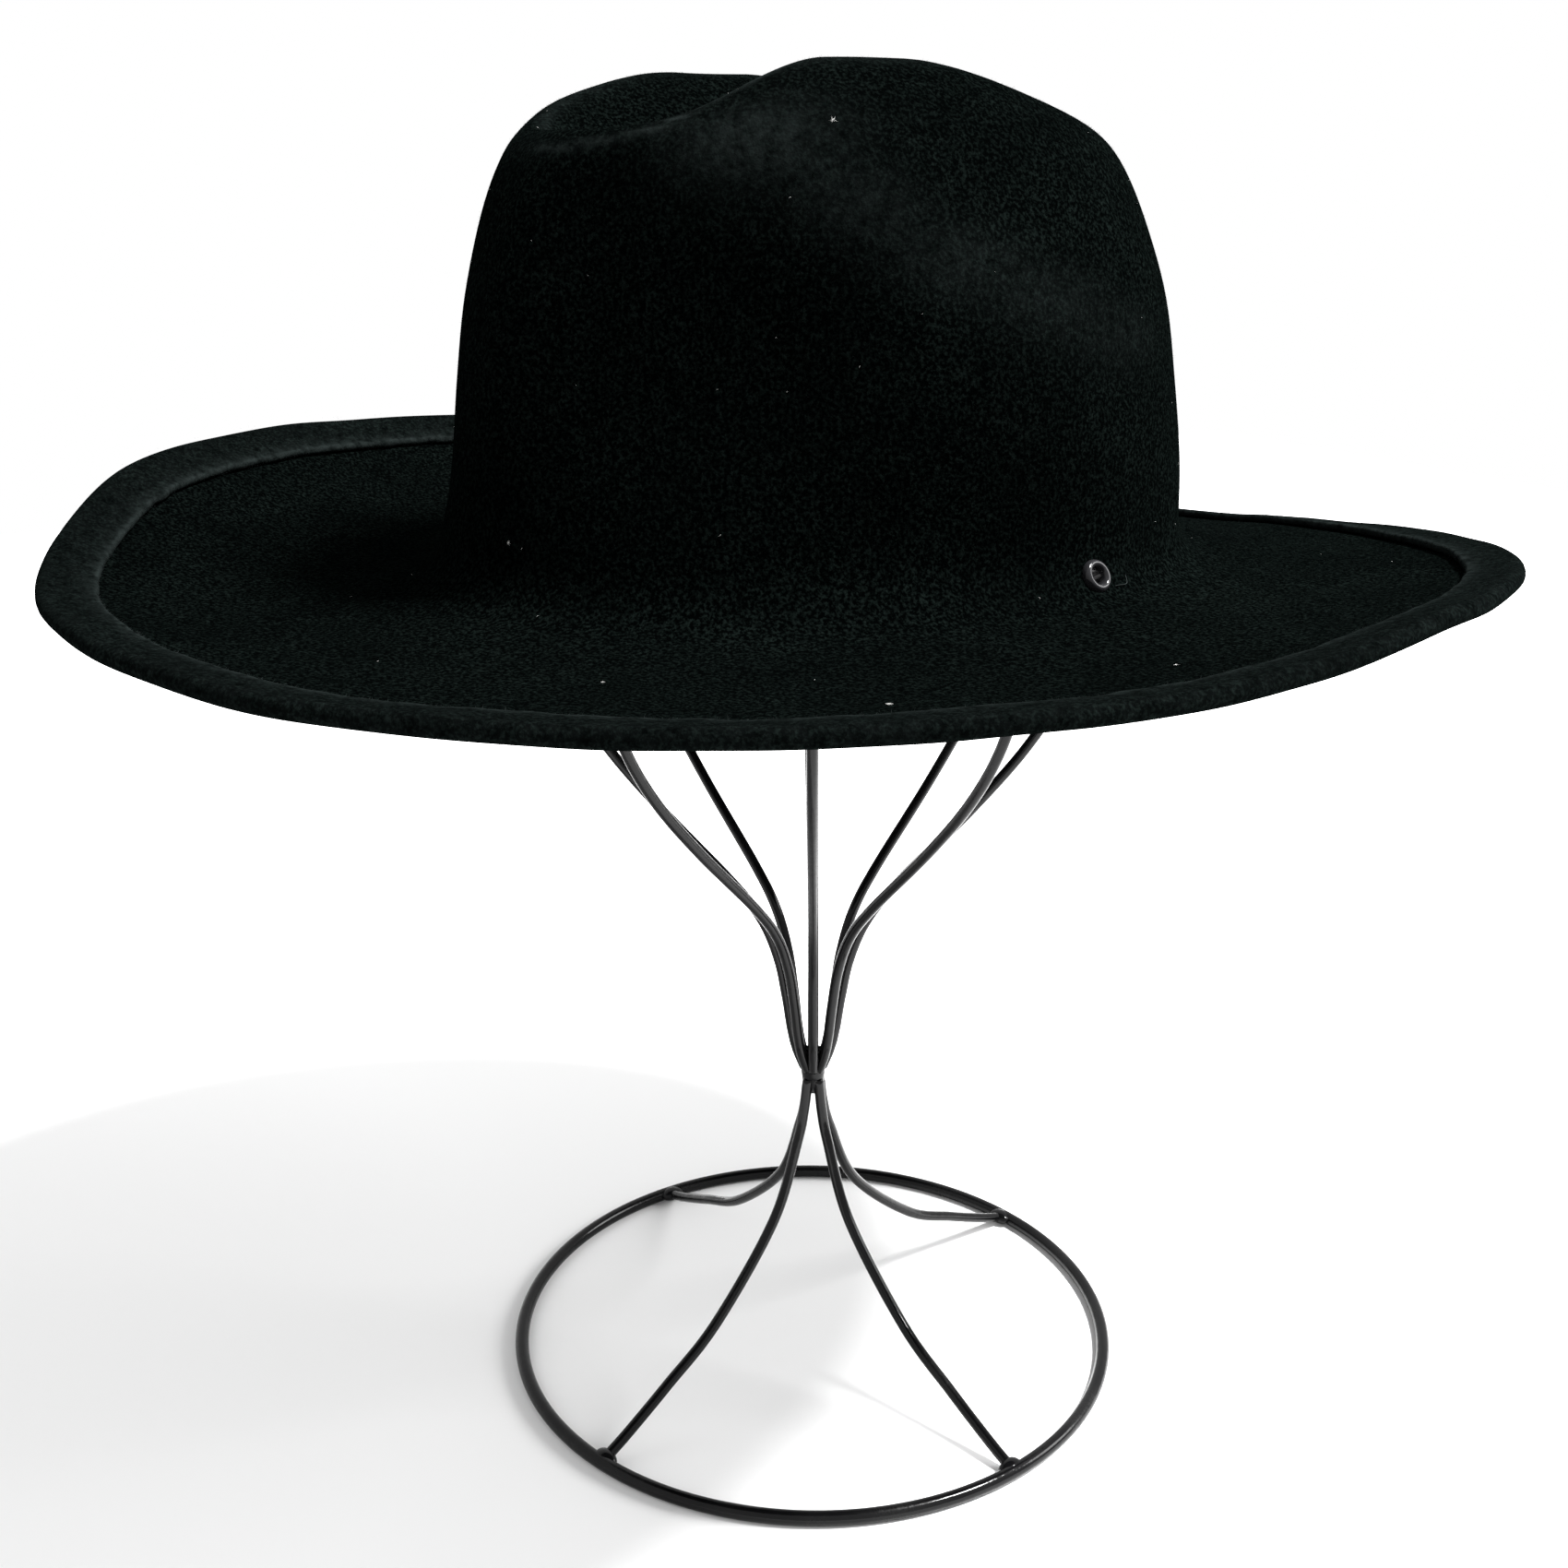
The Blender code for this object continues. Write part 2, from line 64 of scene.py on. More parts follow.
# One row for each section of the crown, from its foot up over the ridge and down into the crease.
# Height and drops are shares of the crown's height, side of half its width, front and rear of half its length.
Ring = namedtuple("Ring", "height side front rear squareness front_drop rear_drop")
CROWN_RINGS = (
    Ring(0.000, 1.000, 1.000, 1.000, 2.0, 0.000, 0.000),
    Ring(0.200, 0.985, 0.955, 0.990, 2.0, 0.000, 0.000),
    Ring(0.400, 0.962, 0.925, 0.952, 2.0, 0.000, 0.000),
    Ring(0.580, 0.925, 0.893, 0.885, 2.1, 0.010, 0.010),
    Ring(0.740, 0.850, 0.842, 0.802, 2.2, 0.020, 0.020),
    Ring(0.880, 0.730, 0.775, 0.718, 2.4, 0.050, 0.060),
    Ring(0.970, 0.590, 0.716, 0.632, 2.7, 0.100, 0.115),
    Ring(1.000, 0.460, 0.672, 0.555, 3.0, 0.140, 0.160),
    Ring(0.965, 0.350, 0.630, 0.510, 3.0, 0.135, 0.150),
    Ring(0.900, 0.230, 0.580, 0.458, 2.7, 0.105, 0.110),
    Ring(0.830, 0.090, 0.520, 0.400, 2.3, 0.050, 0.060),
    Ring(0.815, 0.015, 0.490, 0.370, 2.0, 0.040, 0.050),
)

# How far the brim's edge is lifted, by the turn from the wearer's left towards the back, in degrees.
# The lift is a share of the brim's full lift.
Edge = namedtuple("Edge", "turn lift")
BRIM_EDGE = (
    Edge(-180, 0.75),
    Edge(-160, 0.98),
    Edge(-141, 1.05),
    Edge(-126, 0.92),
    Edge(-111, 0.46),
    Edge(-98, 0.24),
    Edge(-85, 0.23),
    Edge(-64, 0.11),
    Edge(-43, 0.09),
    Edge(-20, 0.11),
    Edge(0, 0.18),
    Edge(20, 0.37),
    Edge(45, 0.21),
    Edge(58, 0.04),
    Edge(72, -0.19),
    Edge(92, -0.50),
    Edge(109, -0.70),
    Edge(130, -0.50),
    Edge(150, 0.05),
    Edge(165, 0.42),
    Edge(180, 0.75),
)

# A wire's curve from the waist weld: height is a share of its rise, radius of its widest reach.
Bend = namedtuple("Bend", "height radius")
LEG_BENDS = (
    Bend(1.000, 0.030),
    Bend(0.900, 0.046),
    Bend(0.785, 0.080),
    Bend(0.520, 0.200),
    Bend(0.250, 0.484),
    Bend(0.125, 0.720),
    Bend(0.040, 0.900),
    Bend(0.000, 1.000),
)
RIB_BENDS = (
    Bend(0.050, 0.012),
    Bend(0.115, 0.032),
    Bend(0.195, 0.065),
    Bend(0.275, 0.131),
    Bend(0.352, 0.251),
    Bend(0.505, 0.547),
    Bend(0.631, 0.761),
    Bend(0.750, 0.903),
    Bend(0.875, 0.980),
    Bend(1.000, 1.000),
)
# Outline of the waist weld: shares of its height and of the ribs' foot radius.
WAIST_WELD = (
    Bend(-0.42, 0.02),
    Bend(-0.38, 0.36),
    Bend(-0.10, 0.54),
    Bend(0.20, 0.60),
    Bend(0.55, 0.68),
    Bend(0.85, 0.66),
    Bend(1.02, 0.42),
    Bend(1.10, 0.02),
)
# How the ribs' ends run down into the waist weld: shares of the weld's height and of the ribs' foot radius.
RIB_TUCK = (
    Bend(0.44, 0.48),
    Bend(0.66, 0.64),
    Bend(0.89, 0.80),
    Bend(1.10, 0.91),
    Bend(1.29, 1.00),
    Bend(1.73, 1.147),
)
LEG_TURNS = tuple(radians(turn) for turn in (8.9, 103.2, 184.0, 289.3))
RIB_TURNS = tuple(radians(turn) for turn in (11.5, 65.0, 100.5, 152.0, 197.0, 234.0, 286.5, 329.5))

# Slow waves that keep the hand-shaped felt from being perfectly even: direction, waves per metre, phase, share.
Wave = namedtuple("Wave", "x y z phase share")
FELT_WAVES = (
    Wave(95.0, 38.0, 60.0, 0.4, 0.30),
    Wave(-41.0, 118.0, 22.0, 1.9, 0.25),
    Wave(63.0, -72.0, 149.0, 3.1, 0.20),
    Wave(-170.0, 55.0, -88.0, 4.4, 0.15),
    Wave(36.0, 214.0, 131.0, 5.2, 0.10),
)


# Painted highlights on the crown, standing for light caught along the near ridge, on a patch below it and in a softer
# band lower down: turn from the wearer's left in degrees, way, their reaches, and how much.
LitSpot = namedtuple("LitSpot", "turn way turn_reach way_reach worn")
CROWN_HIGHLIGHTS = (
    LitSpot(-23.2, 8.42, 5.0, 0.14, 0.9),
    LitSpot(-31.0, 8.22, 5.0, 0.14, 0.9),
    LitSpot(-39.0, 8.01, 5.0, 0.14, 0.8),
    LitSpot(-47.0, 7.60, 5.0, 0.16, 0.8),
    LitSpot(-55.2, 7.20, 6.0, 0.16, 0.7),
    LitSpot(-67.5, 6.95, 7.0, 0.14, 0.7),
    LitSpot(-79.2, 6.76, 7.0, 0.14, 0.6),
    LitSpot(-34.0, 6.60, 15.0, 0.65, 0.55),
    LitSpot(-17.0, 5.60, 9.0, 0.40, 0.26),
    LitSpot(-4.0, 5.00, 9.0, 0.35, 0.25),
    LitSpot(10.0, 4.55, 10.0, 0.35, 0.22),
    LitSpot(26.0, 4.13, 11.0, 0.35, 0.18),
)


# Pale specks caught in the nap, where they lie on the felt: turn from the wearer's left, way, length.
Speck = namedtuple("Speck", "turn way length")
SPECKS = (
    Speck(-59.8, 0.210, 0.0016),
    Speck(-20.5, 0.450, 0.0018),
    Speck(-17.5, 6.680, 0.0014),
    Speck(-45.0, 0.670, 0.0013),
    Speck(5.0, 0.480, 0.0012),
    Speck(13.8, 0.220, 0.0024),
    Speck(11.8, 0.120, 0.0020),
    Speck(-74.0, 2.230, 0.0012),
)


def length(name, description, default):
    return FloatProperty(name=name, description=description, default=default, unit="LENGTH", precision=5)


def share(name, description, default):
    return FloatProperty(name=name, description=description, default=default, subtype="FACTOR", min=0.0, max=1.0)


def colour(name, description, default):
    return FloatVectorProperty(name=name, description=description, default=default, subtype="COLOR", size=3)


def angle(name, description, default):
    return FloatProperty(name=name, description=description, default=radians(default), subtype="ANGLE")


def count(name, description, default):
    return IntProperty(name=name, description=description, default=default, min=3)


class HatShape(PropertyGroup):
    """Sizes of the felt hat"""

    crown_length: length("Crown length", "Outside length of the crown at its foot", 0.204)
    crown_width: length("Crown width", "Outside width of the crown at its foot", 0.166)
    crown_height: length("Crown height", "From the brim to the crown's ridges", 0.120)
    brim_length: length("Brim length", "From the brim's front edge to its back edge", 0.378)
    brim_width: length("Brim width", "Across the brim from side to side", 0.344)
    brim_forward: length("Brim forward", "How far the brim sits ahead of the crown", 0.005)
    brim_height: length("Brim height", "Height of the brim over the table", 0.241)
    brim_lift: length("Brim lift", "Highest lift of the brim's edge", 0.021)
    brim_sag: length("Brim sag", "Depth of the brim's dish between foot and edge", 0.004)
    felt_thickness: length("Felt thickness", "Thickness of the felt", 0.0022)
    fold_width: length("Fold width", "Width of the brim edge folded over itself", 0.013)
    fold_stand: length("Fold stand", "How far the fold's cut edge stands off the brim", 0.0004)
    foot_fillet: length("Foot fillet", "Size of the bend between crown and brim", 0.009)
    pinch_depth: length("Pinch depth", "Depth of the two front pinches", 0.014)
    hollow_depth: length("Hollow depth", "Depth of the low hollow in each side", 0.004)
    unevenness: length("Unevenness", "Height of the slow waves of hand-shaped felt", 0.00045)
    right_ridge_lean: share("Right ridge lean", "How much less the right ridge falls at the front", 0.55)
    columns: count("Columns", "Faces round the hat", 584)


class FeltFinish(PropertyGroup):
    """Colour and nap of the felt"""

    felt_colour: colour("Felt colour", "Colour of the felt's body", (0.0002, 0.0003, 0.0003))
    tip_colour: colour("Tip colour", "Colour of the raised nap", (0.0028, 0.0044, 0.0039))
    # Painted highlight colour of the felt's ridges, lit band and fold edge, also used for the edge fuzz and the loose
    # fibre.
    highlight_and_fibre_colour: colour("Highlight colour", "Colour of rubbed felt along edges and ridges", (0.0105, 0.0135, 0.0131))
    lint_colour: colour("Lint colour", "Colour of the pale fibres caught in the nap", (0.30, 0.30, 0.29))
    grain: length("Grain", "Size of the felt's grain", 0.0009)
    nap_length: length("Nap length", "Length of the longer fibres of the nap", 0.0007)
    nap_count: count("Nap count", "Number of longer fibres of the nap", 36000)
    fuzz_count: count("Fuzz count", "Number of fibres along the fold's cut edge", 9000)
    lint_count: count("Lint count", "Number of small pale fibres scattered over the felt", 90)


class EyeletShape(PropertyGroup):
    """Sizes of the two eyelets"""

    turn: angle("Turn", "Turn of the left eyelet from the hat's left side", 17.5)
    way: FloatProperty(name="Way", description="Place on the bend at the crown's foot", default=1.7)
    hole: length("Hole", "Width of the eyelet's hole", 0.0040)
    barrel: length("Barrel", "Width of the barrel", 0.0054)
    flange: length("Flange", "Width of the rolled front", 0.0084)
    flange_thickness: length("Flange thickness", "How far the rolled front stands up", 0.0016)
    back_flange: length("Back flange", "Width of the clinched back", 0.0074)
    back_thickness: length("Back thickness", "How far the clinched back stands out", 0.0008)
    enamel: colour("Enamel", "Colour of the eyelets", (0.010, 0.010, 0.011))


class StandShape(PropertyGroup):
    """Sizes of the wire stand"""

    ring_radius: length("Ring radius", "Radius of the base ring", 0.0882)
    ring_wire: length("Ring wire", "Thickness of the base ring's wire", 0.0040)
    leg_wire: length("Leg wire", "Thickness of a leg's wire", 0.0031)
    rib_wire: length("Rib wire", "Thickness of a rib's wire", 0.0030)
    waist_height: length("Waist height", "Height of the waist weld's foot", 0.0842)
    waist_weld_height: length("Waist weld height", "Height of the waist weld", 0.0099)
    cage_radius: length("Cage radius", "Widest radius of the ribs", 0.076)
    cage_height: length("Cage height", "Height where the ribs turn inwards", 0.238)
    top_weld_radius: length("Top weld radius", "Radius of the weld at the top", 0.0058)
    top_weld_thickness: length("Top weld thickness", "Thickness of the weld at the top", 0.0040)
    rib_foot_radius: length("Rib foot radius", "Radius of the ring of ribs at the waist", 0.00573)
    lacquer: colour("Lacquer", "Colour of the stand's lacquer", (0.0022, 0.0022, 0.0024))


class StageSettings(PropertyGroup):
    """Floor, light and camera"""

    floor_size: length("Floor size", "Side of the floor", 3.0)
    floor_colour: colour("Floor colour", "Colour of the floor", (0.9, 0.9, 0.9))
    sky_colour: colour("Sky colour", "Colour of the room round the object", (1.0, 1.0, 1.0))
    camera_place: FloatVectorProperty(
        name="Camera place",
        description="Where the camera stands",
        default=(0.42057, -0.23781, 0.33727),
        subtype="TRANSLATION",
        size=3,
    )
    camera_turn: angle("Camera turn", "Turn of the camera round the stand", 60.0)
    camera_pan: angle("Camera pan", "Turn of the camera's view off the stand's axis", -1.01)
    camera_tilt: angle("Camera tilt", "How far the camera looks down", 18.45)
    focal_length: FloatProperty(
        name="Focal length", description="Focal length of the camera", default=42.35, unit="CAMERA"
    )


# Curves and surfaces


def ease(low, high, value):
    """0 below low, 1 above high, and between them three squares less two cubes of the share."""
    part = np.clip((value - low) / (high - low), 0.0, 1.0)
    return part * part * (3.0 - 2.0 * part)


def unit(vectors):
    return vectors / np.linalg.norm(vectors, axis=-1, keepdims=True)


def spline(rows, place):
    """The rows of a table joined by a Catmull-Rom curve, read at a row number that may be a fraction."""
    rows = np.array(rows, float)
    last = len(rows) - 1
    place = np.clip(place, 0, last)
    first = np.minimum(place.astype(int), last - 1)
    part = (place - first)[..., None]
    start, end = rows[first], rows[first + 1]
    before = np.where((first > 0)[..., None], rows[np.maximum(first - 1, 0)], 2 * start - end)
    after = np.where((first < last - 1)[..., None], rows[np.minimum(first + 2, last)], 2 * end - start)
    bend = 2 * before - 5 * start + 4 * end - after
    twist = 3 * start - before - 3 * end + after
    return start + 0.5 * ((end - before) * part + bend * part**2 + twist * part**3)


def edge_lift(hat, turn):
    """Height of the brim's edge over the brim's plane: a cubic through BRIM_EDGE, smooth all the way round."""
    table = np.array(BRIM_EDGE, float)
    degrees = (np.degrees(turn) + 180) % 360 - 180
    turns = np.concatenate([table[-3:-1, :1] - [[360]], table[:, :1], table[1:3, :1] + [[360]]]).ravel()
    lifts = np.concatenate([table[-3:-1, 1], table[:, 1], table[1:3, 1]])
    slopes = np.gradient(lifts, turns)
    at = np.clip(np.searchsorted(turns, degrees, side="right") - 1, 0, len(turns) - 2)
    span = turns[at + 1] - turns[at]
    part = (degrees - turns[at]) / span
    rise = part * part * (3 - 2 * part)
    leave = part * (1 - part) ** 2 * span * slopes[at]
    arrive = part * part * (1 - part) * span * slopes[at + 1]
    return hat.brim_lift * (lifts[at] * (1 - rise) + lifts[at + 1] * rise + leave - arrive)


def signed_power(value, power):
    return np.sign(value) * np.abs(value) ** power


def undented_crown(hat, turn, row):
    """A squared oval at each row of CROWN_RINGS, falling towards the front and the back."""
    ring = np.moveaxis(spline(CROWN_RINGS, row), -1, 0)
    height, side, front, rear, squareness, front_drop, rear_drop = ring
    across = signed_power(np.cos(turn), 2 / squareness)
    along = signed_power(np.sin(turn), 2 / squareness)
    x = hat.crown_width / 2 * side * across
    y = hat.crown_length / 2 * np.where(along < 0, front, rear) * along
    lean = 1 - hat.right_ridge_lean * ease(0.0, 1.0, -across)
    front_fall = front_drop * lean * ease(0.3, 1.0, -along)
    rear_fall = rear_drop * np.clip(along, 0, 1) ** 1.6
    z = hat.crown_height * (height - np.where(along < 0, front_fall, rear_fall))
    return np.stack([x, y, z], -1)


def crown(hat, turn, row):
    """The crown less a bell-shaped press towards its axis at each dent."""
    points = undented_crown(hat, turn, row)
    x, y, z = np.moveaxis(points, -1, 0)
    toward = np.stack([x, 0.5 * y, np.zeros_like(x)], -1)
    toward = toward / (np.linalg.norm(toward, axis=-1, keepdims=True) + 1e-9)
    sideways = ease(0.1, 0.45, np.abs(x) / (hat.crown_width / 2))
    dents = ((hat.pinch_depth, -0.66, 0.36, 0.52, 0.33), (hat.hollow_depth, -0.12, 0.35, 0.10, 0.16))
    for depth, place_along, reach_along, place_up, reach_up in dents:
        along = (y / (hat.crown_length / 2) - place_along) / reach_along
        up = (z / hat.crown_height - place_up) / reach_up
        press = depth * np.exp(-(along**2 + up**2)) * sideways
        points = points - toward * press[..., None]
    return points


def first_ring_row(hat):
    return hat.foot_fillet / (hat.crown_height * CROWN_RINGS[1].height)


def last_way(hat):
    return 2 + len(CROWN_RINGS) - 1 - first_ring_row(hat) - 2 * STEP


def brim_run(hat, turn):
    """Plan distance from the brim's edge to the crown's foot."""
    foot = undented_crown(hat, turn, np.zeros_like(turn))
    edge_x = hat.brim_width / 2 * np.cos(turn)
    edge_y = hat.brim_length / 2 * np.sin(turn) - hat.brim_forward
    return np.hypot(edge_x - foot[..., 0], edge_y - foot[..., 1])


def brim(hat, turn, part):
    """The brim's top from the crown's foot at 0 to its edge at 1: a dish plus the lift times the square of the share."""
    foot = undented_crown(hat, turn, np.zeros_like(turn))
    edge_x = hat.brim_width / 2 * np.cos(turn)
    edge_y = hat.brim_length / 2 * np.sin(turn) - hat.brim_forward
    sag = hat.brim_sag * 4 * part * (1 - part)
    x = foot[..., 0] + (edge_x - foot[..., 0]) * part
    y = foot[..., 1] + (edge_y - foot[..., 1]) * part
    z = edge_lift(hat, turn) * part**2 - sag
    return np.stack([x, y, z], -1)


def sheet(hat, turn, way):
    """Top of the felt: way 0 to 1 crosses the brim inwards, 1 to 2 rounds the foot, past 2 climbs the rings."""
    turn, way = np.broadcast_arrays(np.asarray(turn, float), np.asarray(way, float))
    fillet_share = hat.foot_fillet / brim_run(hat, turn)
    foot_row = np.full_like(way, first_ring_row(hat))
    flat = brim(hat, turn, fillet_share + (1 - fillet_share) * (1 - np.clip(way, 0, 1)))
    bend = np.clip(way - 1, 0, 1)[..., None]
    low = brim(hat, turn, fillet_share)
    corner = undented_crown(hat, turn, np.zeros_like(way))
    high = crown(hat, turn, foot_row)
    fillet = (1 - bend) ** 2 * low + 2 * bend * (1 - bend) * corner + bend**2 * high
    wall = crown(hat, turn, foot_row + np.clip(way - 2, 0, None))
    points = np.where((way <= 1)[..., None], flat, np.where((way < 2)[..., None], fillet, wall))
    return points + np.array([0.0, hat.brim_forward, hat.brim_height])


def felt_frame(hat, turn, way):
    """A point of the felt's top with its normal and its direction out towards the brim's edge."""
    round_way = sheet(hat, turn + STEP, way) - sheet(hat, turn - STEP, way)
    inwards = sheet(hat, turn, way + STEP) - sheet(hat, turn, way - STEP)
    normal = unit(np.cross(round_way, inwards))
    return sheet(hat, turn, way), normal, -unit(inwards)


def hand_shaping(points):
    """A sum of slow sine waves through space, between -1 and 1."""
    waves = np.array([wave[:3] for wave in FELT_WAVES])
    phases = np.array([wave.phase for wave in FELT_WAVES])
    shares = np.array([wave.share for wave in FELT_WAVES])
    return np.sin(points @ waves.T + phases) @ shares


def ragged(turn, seed):
    """An uneven line round the brim, between about -1 and 1: sine waves of whole numbers of turns."""
    generator = np.random.default_rng(seed)
    waves = generator.integers(7, 120, 36)
    phases = generator.uniform(0, 2 * np.pi, 36)
    return np.sin(np.multiply.outer(turn, waves) + phases).sum(-1) / 6


def felt_points(hat, turn, way, above, past):
    """Points offset above the felt's top and past their place, with the slow waves added along the normal."""
    points, normal, outwards = felt_frame(hat, turn, way)
    shaped = hat.unevenness * hand_shaping(points)
    return points + (above + shaped)[..., None] * normal + past[..., None] * outwards


# Meshes


def new_piece(name, points, faces, material, smooth_angle=40):
    """A mesh object at the origin from points and faces of one or more sizes, riding on the hat's body."""
    mesh = bpy.data.meshes.new(name)
    mesh.from_pydata(np.asarray(points, float).reshape(-1, 3).tolist(), [], faces)
    mesh.validate()
    mesh.materials.append(material)
    mesh.shade_smooth()
    mesh.set_sharp_from_angle(angle=radians(smooth_angle))
    piece = bpy.data.objects.new(name, mesh)
    bpy.context.scene.collection.objects.link(piece)
    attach(piece, "root")
    return piece


def grid_faces(rows, columns, closed_round=True, closed_along=False):
    """Quads between neighbours of a grid of corners that is numbered row by row."""
    row = np.arange(rows if closed_along else rows - 1)
    column = np.arange(columns if closed_round else columns - 1)
    row, column = np.meshgrid(row, column, indexing="ij")
    ahead = (column + 1) % columns
    following = (row + 1) % rows
    corners = (row * columns + column, row * columns + ahead, following * columns + ahead, following * columns + column)
    return np.stack(corners, -1).reshape(-1, 4)


def set_attribute(piece, name, values):
    attribute = piece.data.attributes.new(name, "FLOAT", "POINT")
    attribute.data.foreach_set("value", np.asarray(values, float).ravel())


def face_outwards(piece):
    """Merge doubles, then turn every face outwards."""
    mesh = bmesh.new()
    mesh.from_mesh(piece.data)
    bmesh.ops.remove_doubles(mesh, verts=mesh.verts, dist=1e-7)
    bmesh.ops.recalc_face_normals(mesh, faces=mesh.faces)
    mesh.to_mesh(piece.data)
    mesh.free()


def tube(path, sideways, radius, sides):
    """Corners of a round tube carried along a path, the circle square to the path at every point."""
    along = unit(np.gradient(path, axis=0))
    across = np.cross(sideways, along)
    angles = np.arange(sides) * 2 * np.pi / sides
    radius = np.broadcast_to(radius, len(path))[:, None, None]
    ring = np.cos(angles)[None, :, None] * sideways + np.sin(angles)[None, :, None] * across[:, None, :]
    return path[:, None, :] + radius * ring


def rounded_ends(path, radius, steps=5):
    """The path with a few more points at each end, and radii that close it with half a ball."""
    bend = np.linspace(0, np.pi / 2, steps)
    start, end = unit(path[0] - path[1]), unit(path[-1] - path[-2])
    head = path[0] + radius * np.sin(bend[::-1])[:, None] * start
    tail = path[-1] + radius * np.sin(bend)[:, None] * end
    cap = np.maximum(np.cos(bend), 0.02)
    full = np.concatenate([head[:-1], path, tail[1:]])
    radii = radius * np.concatenate([cap[::-1][:-1], np.ones(len(path)), cap[1:]])
    return full, radii


def closed_tubes(tubes):
    """One list of points and one of faces for several tubes, each with a face over either end."""
    points, faces, start = [], [], 0
    for corners in tubes:
        rows, sides = corners.shape[:2]
        points.append(corners.reshape(-1, 3))
        faces += (grid_faces(rows, sides) + start).tolist()
        faces.append((np.arange(sides)[::-1] + start).tolist())
        faces.append((np.arange(sides) + start + (rows - 1) * sides).tolist())
        start += rows * sides
    return np.concatenate(points), faces


def strands(paths, radii):
    """Three-sided fibres along many paths at once, closed by a face at the root and a point at the tip."""
    number, steps = paths.shape[:2]
    along = unit(np.gradient(paths, axis=1))
    side = unit(np.cross(along, np.where(np.abs(along[..., 2:]) < 0.9, [0.0, 0.0, 1.0], [1.0, 0.0, 0.0])))
    other = np.cross(along, side)
    angles = np.arange(3) * 2 * np.pi / 3
    ring = np.cos(angles)[:, None] * side[:, :-1, None, :] + np.sin(angles)[:, None] * other[:, :-1, None, :]
    corners = paths[:, :-1, None, :] + radii[:, :-1, None, None] * ring
    points = np.concatenate([corners.reshape(number, -1, 3), paths[:, -1:, :]], axis=1)
    each = points.shape[1]
    quads = grid_faces(steps - 1, 3)
    tip = each - 1
    last = (steps - 2) * 3
    triangles = np.array([[last + k, last + (k + 1) % 3, tip] for k in range(3)] + [[2, 1, 0]])
    starts = np.arange(number) * each
    faces = (quads[None] + starts[:, None, None]).reshape(-1, 4).tolist()
    faces += (triangles[None] + starts[:, None, None]).reshape(-1, 3).tolist()
    return points, faces


def painted_crown_highlight(turn, way):
    """How much painted highlight each place gets: a thin line along the ridges all round, plus each table entry's share
    times exp of minus its two squared distances.
    """
    total = np.full(turn.shape, 0.25 * np.exp(-(((way - 8.5) / 0.45) ** 2)))
    for lit_spot in CROWN_HIGHLIGHTS:
        off = (np.degrees(turn) - lit_spot.turn + 180) % 360 - 180
        total += lit_spot.worn * np.exp(-((off / lit_spot.turn_reach) ** 2) - ((way - lit_spot.way) / lit_spot.way_reach) ** 2)
    return np.minimum(total, 1.0)


def felt_skin_places(hat, turn):
    """Way, height and outward offset of every row of the felt's skin, from the crease over the edge and back under, and
    each row's share of painted highlight.
    """
    run = brim_run(hat, turn) - hat.foot_fillet
    fold_way = hat.fold_width / run
    edge_way = hat.felt_thickness / run
    thickness = hat.felt_thickness
    cut = 0.00018 * ragged(turn, 3)
    stand = hat.fold_stand * (1 + 0.22 * ragged(turn, 5))
    # Each row's share of painted highlight, read by the felt material.
    painted_highlight = []
    rows = []

    def add(way, above=0.0, past=0.0, worn=0.0):
        parts = (np.broadcast_to(part, turn.shape) for part in (way, above, past))
        rows.append(np.stack(list(parts)))
        painted_highlight.append(np.broadcast_to(worn, turn.shape))

    for way in np.linspace(last_way(hat), 2, 66):
        add(way, worn=painted_crown_highlight(turn, way))
    for way in np.linspace(1.875, 1, 8):
        add(way)
    for part in np.linspace(0, 1, 24)[1:]:
        add(1 - part * (1 - fold_way), past=part**8 * cut)
    add(fold_way, 0.0, cut + 0.0012)
    add(fold_way, 0.35 * stand, cut + 0.0016)
    # The last number of each fold row below is its share of painted highlight: a bright line along the raised cut edge,
    # fading over the fold's top, and a faint one round the rolled edge.
    add(fold_way, 0.75 * stand, cut + 0.0010, 0.2)
    add(fold_way, stand, cut + 0.0001, 0.8)
    add(fold_way, stand + 0.30 * thickness, cut - 0.0003, 1.0)
    add(fold_way, stand + 0.75 * thickness, cut - 0.0002, 1.0)
    add(fold_way, stand + thickness, cut + 0.0004, 0.9)
    for part in np.linspace(0, 1, 10)[1:]:
        way = fold_way + part * (edge_way - fold_way)
        settle = stand * (1 - part) ** 2
        add(way, thickness + settle + 0.0002 * np.sin(np.pi * part), 0.0, 0.12 + 0.6 * (1 - part) ** 5)
    for bend in np.linspace(np.pi / 2, -np.pi / 2, 11)[1:]:
        add(edge_way, thickness * np.sin(bend), thickness * np.cos(bend), 0.15)
    for part in np.linspace(0, 1, 13)[1:-1]:
        add(edge_way + part * (1 - edge_way), -thickness)
    for way in np.linspace(1, 2, 6):
        add(way, -thickness)
    for way in np.linspace(2, last_way(hat), 27)[1:]:
        add(way, -thickness)
    return np.stack(rows), np.stack(painted_highlight)


def crease_faces(first, columns, upwards):
    """Faces that close a row whose two sides face each other across the crease, a triangle at either end."""
    front, half = -(columns // 4), columns // 2
    step = np.arange(half)
    here = (front + step) % columns
    ahead = (front + step + 1) % columns
    across = (half - (front + step)) % columns
    across_ahead = (half - (front + step) - 1) % columns
    quads = np.stack([here, ahead, across_ahead, across], -1) + first
    start = [quads[0][0], quads[0][1], quads[0][2]]
    end = [quads[-1][0], quads[-1][1], quads[-1][3]]
    faces = [start] + quads[1:-1].tolist() + [end]
    return faces if upwards else [face[::-1] for face in faces]


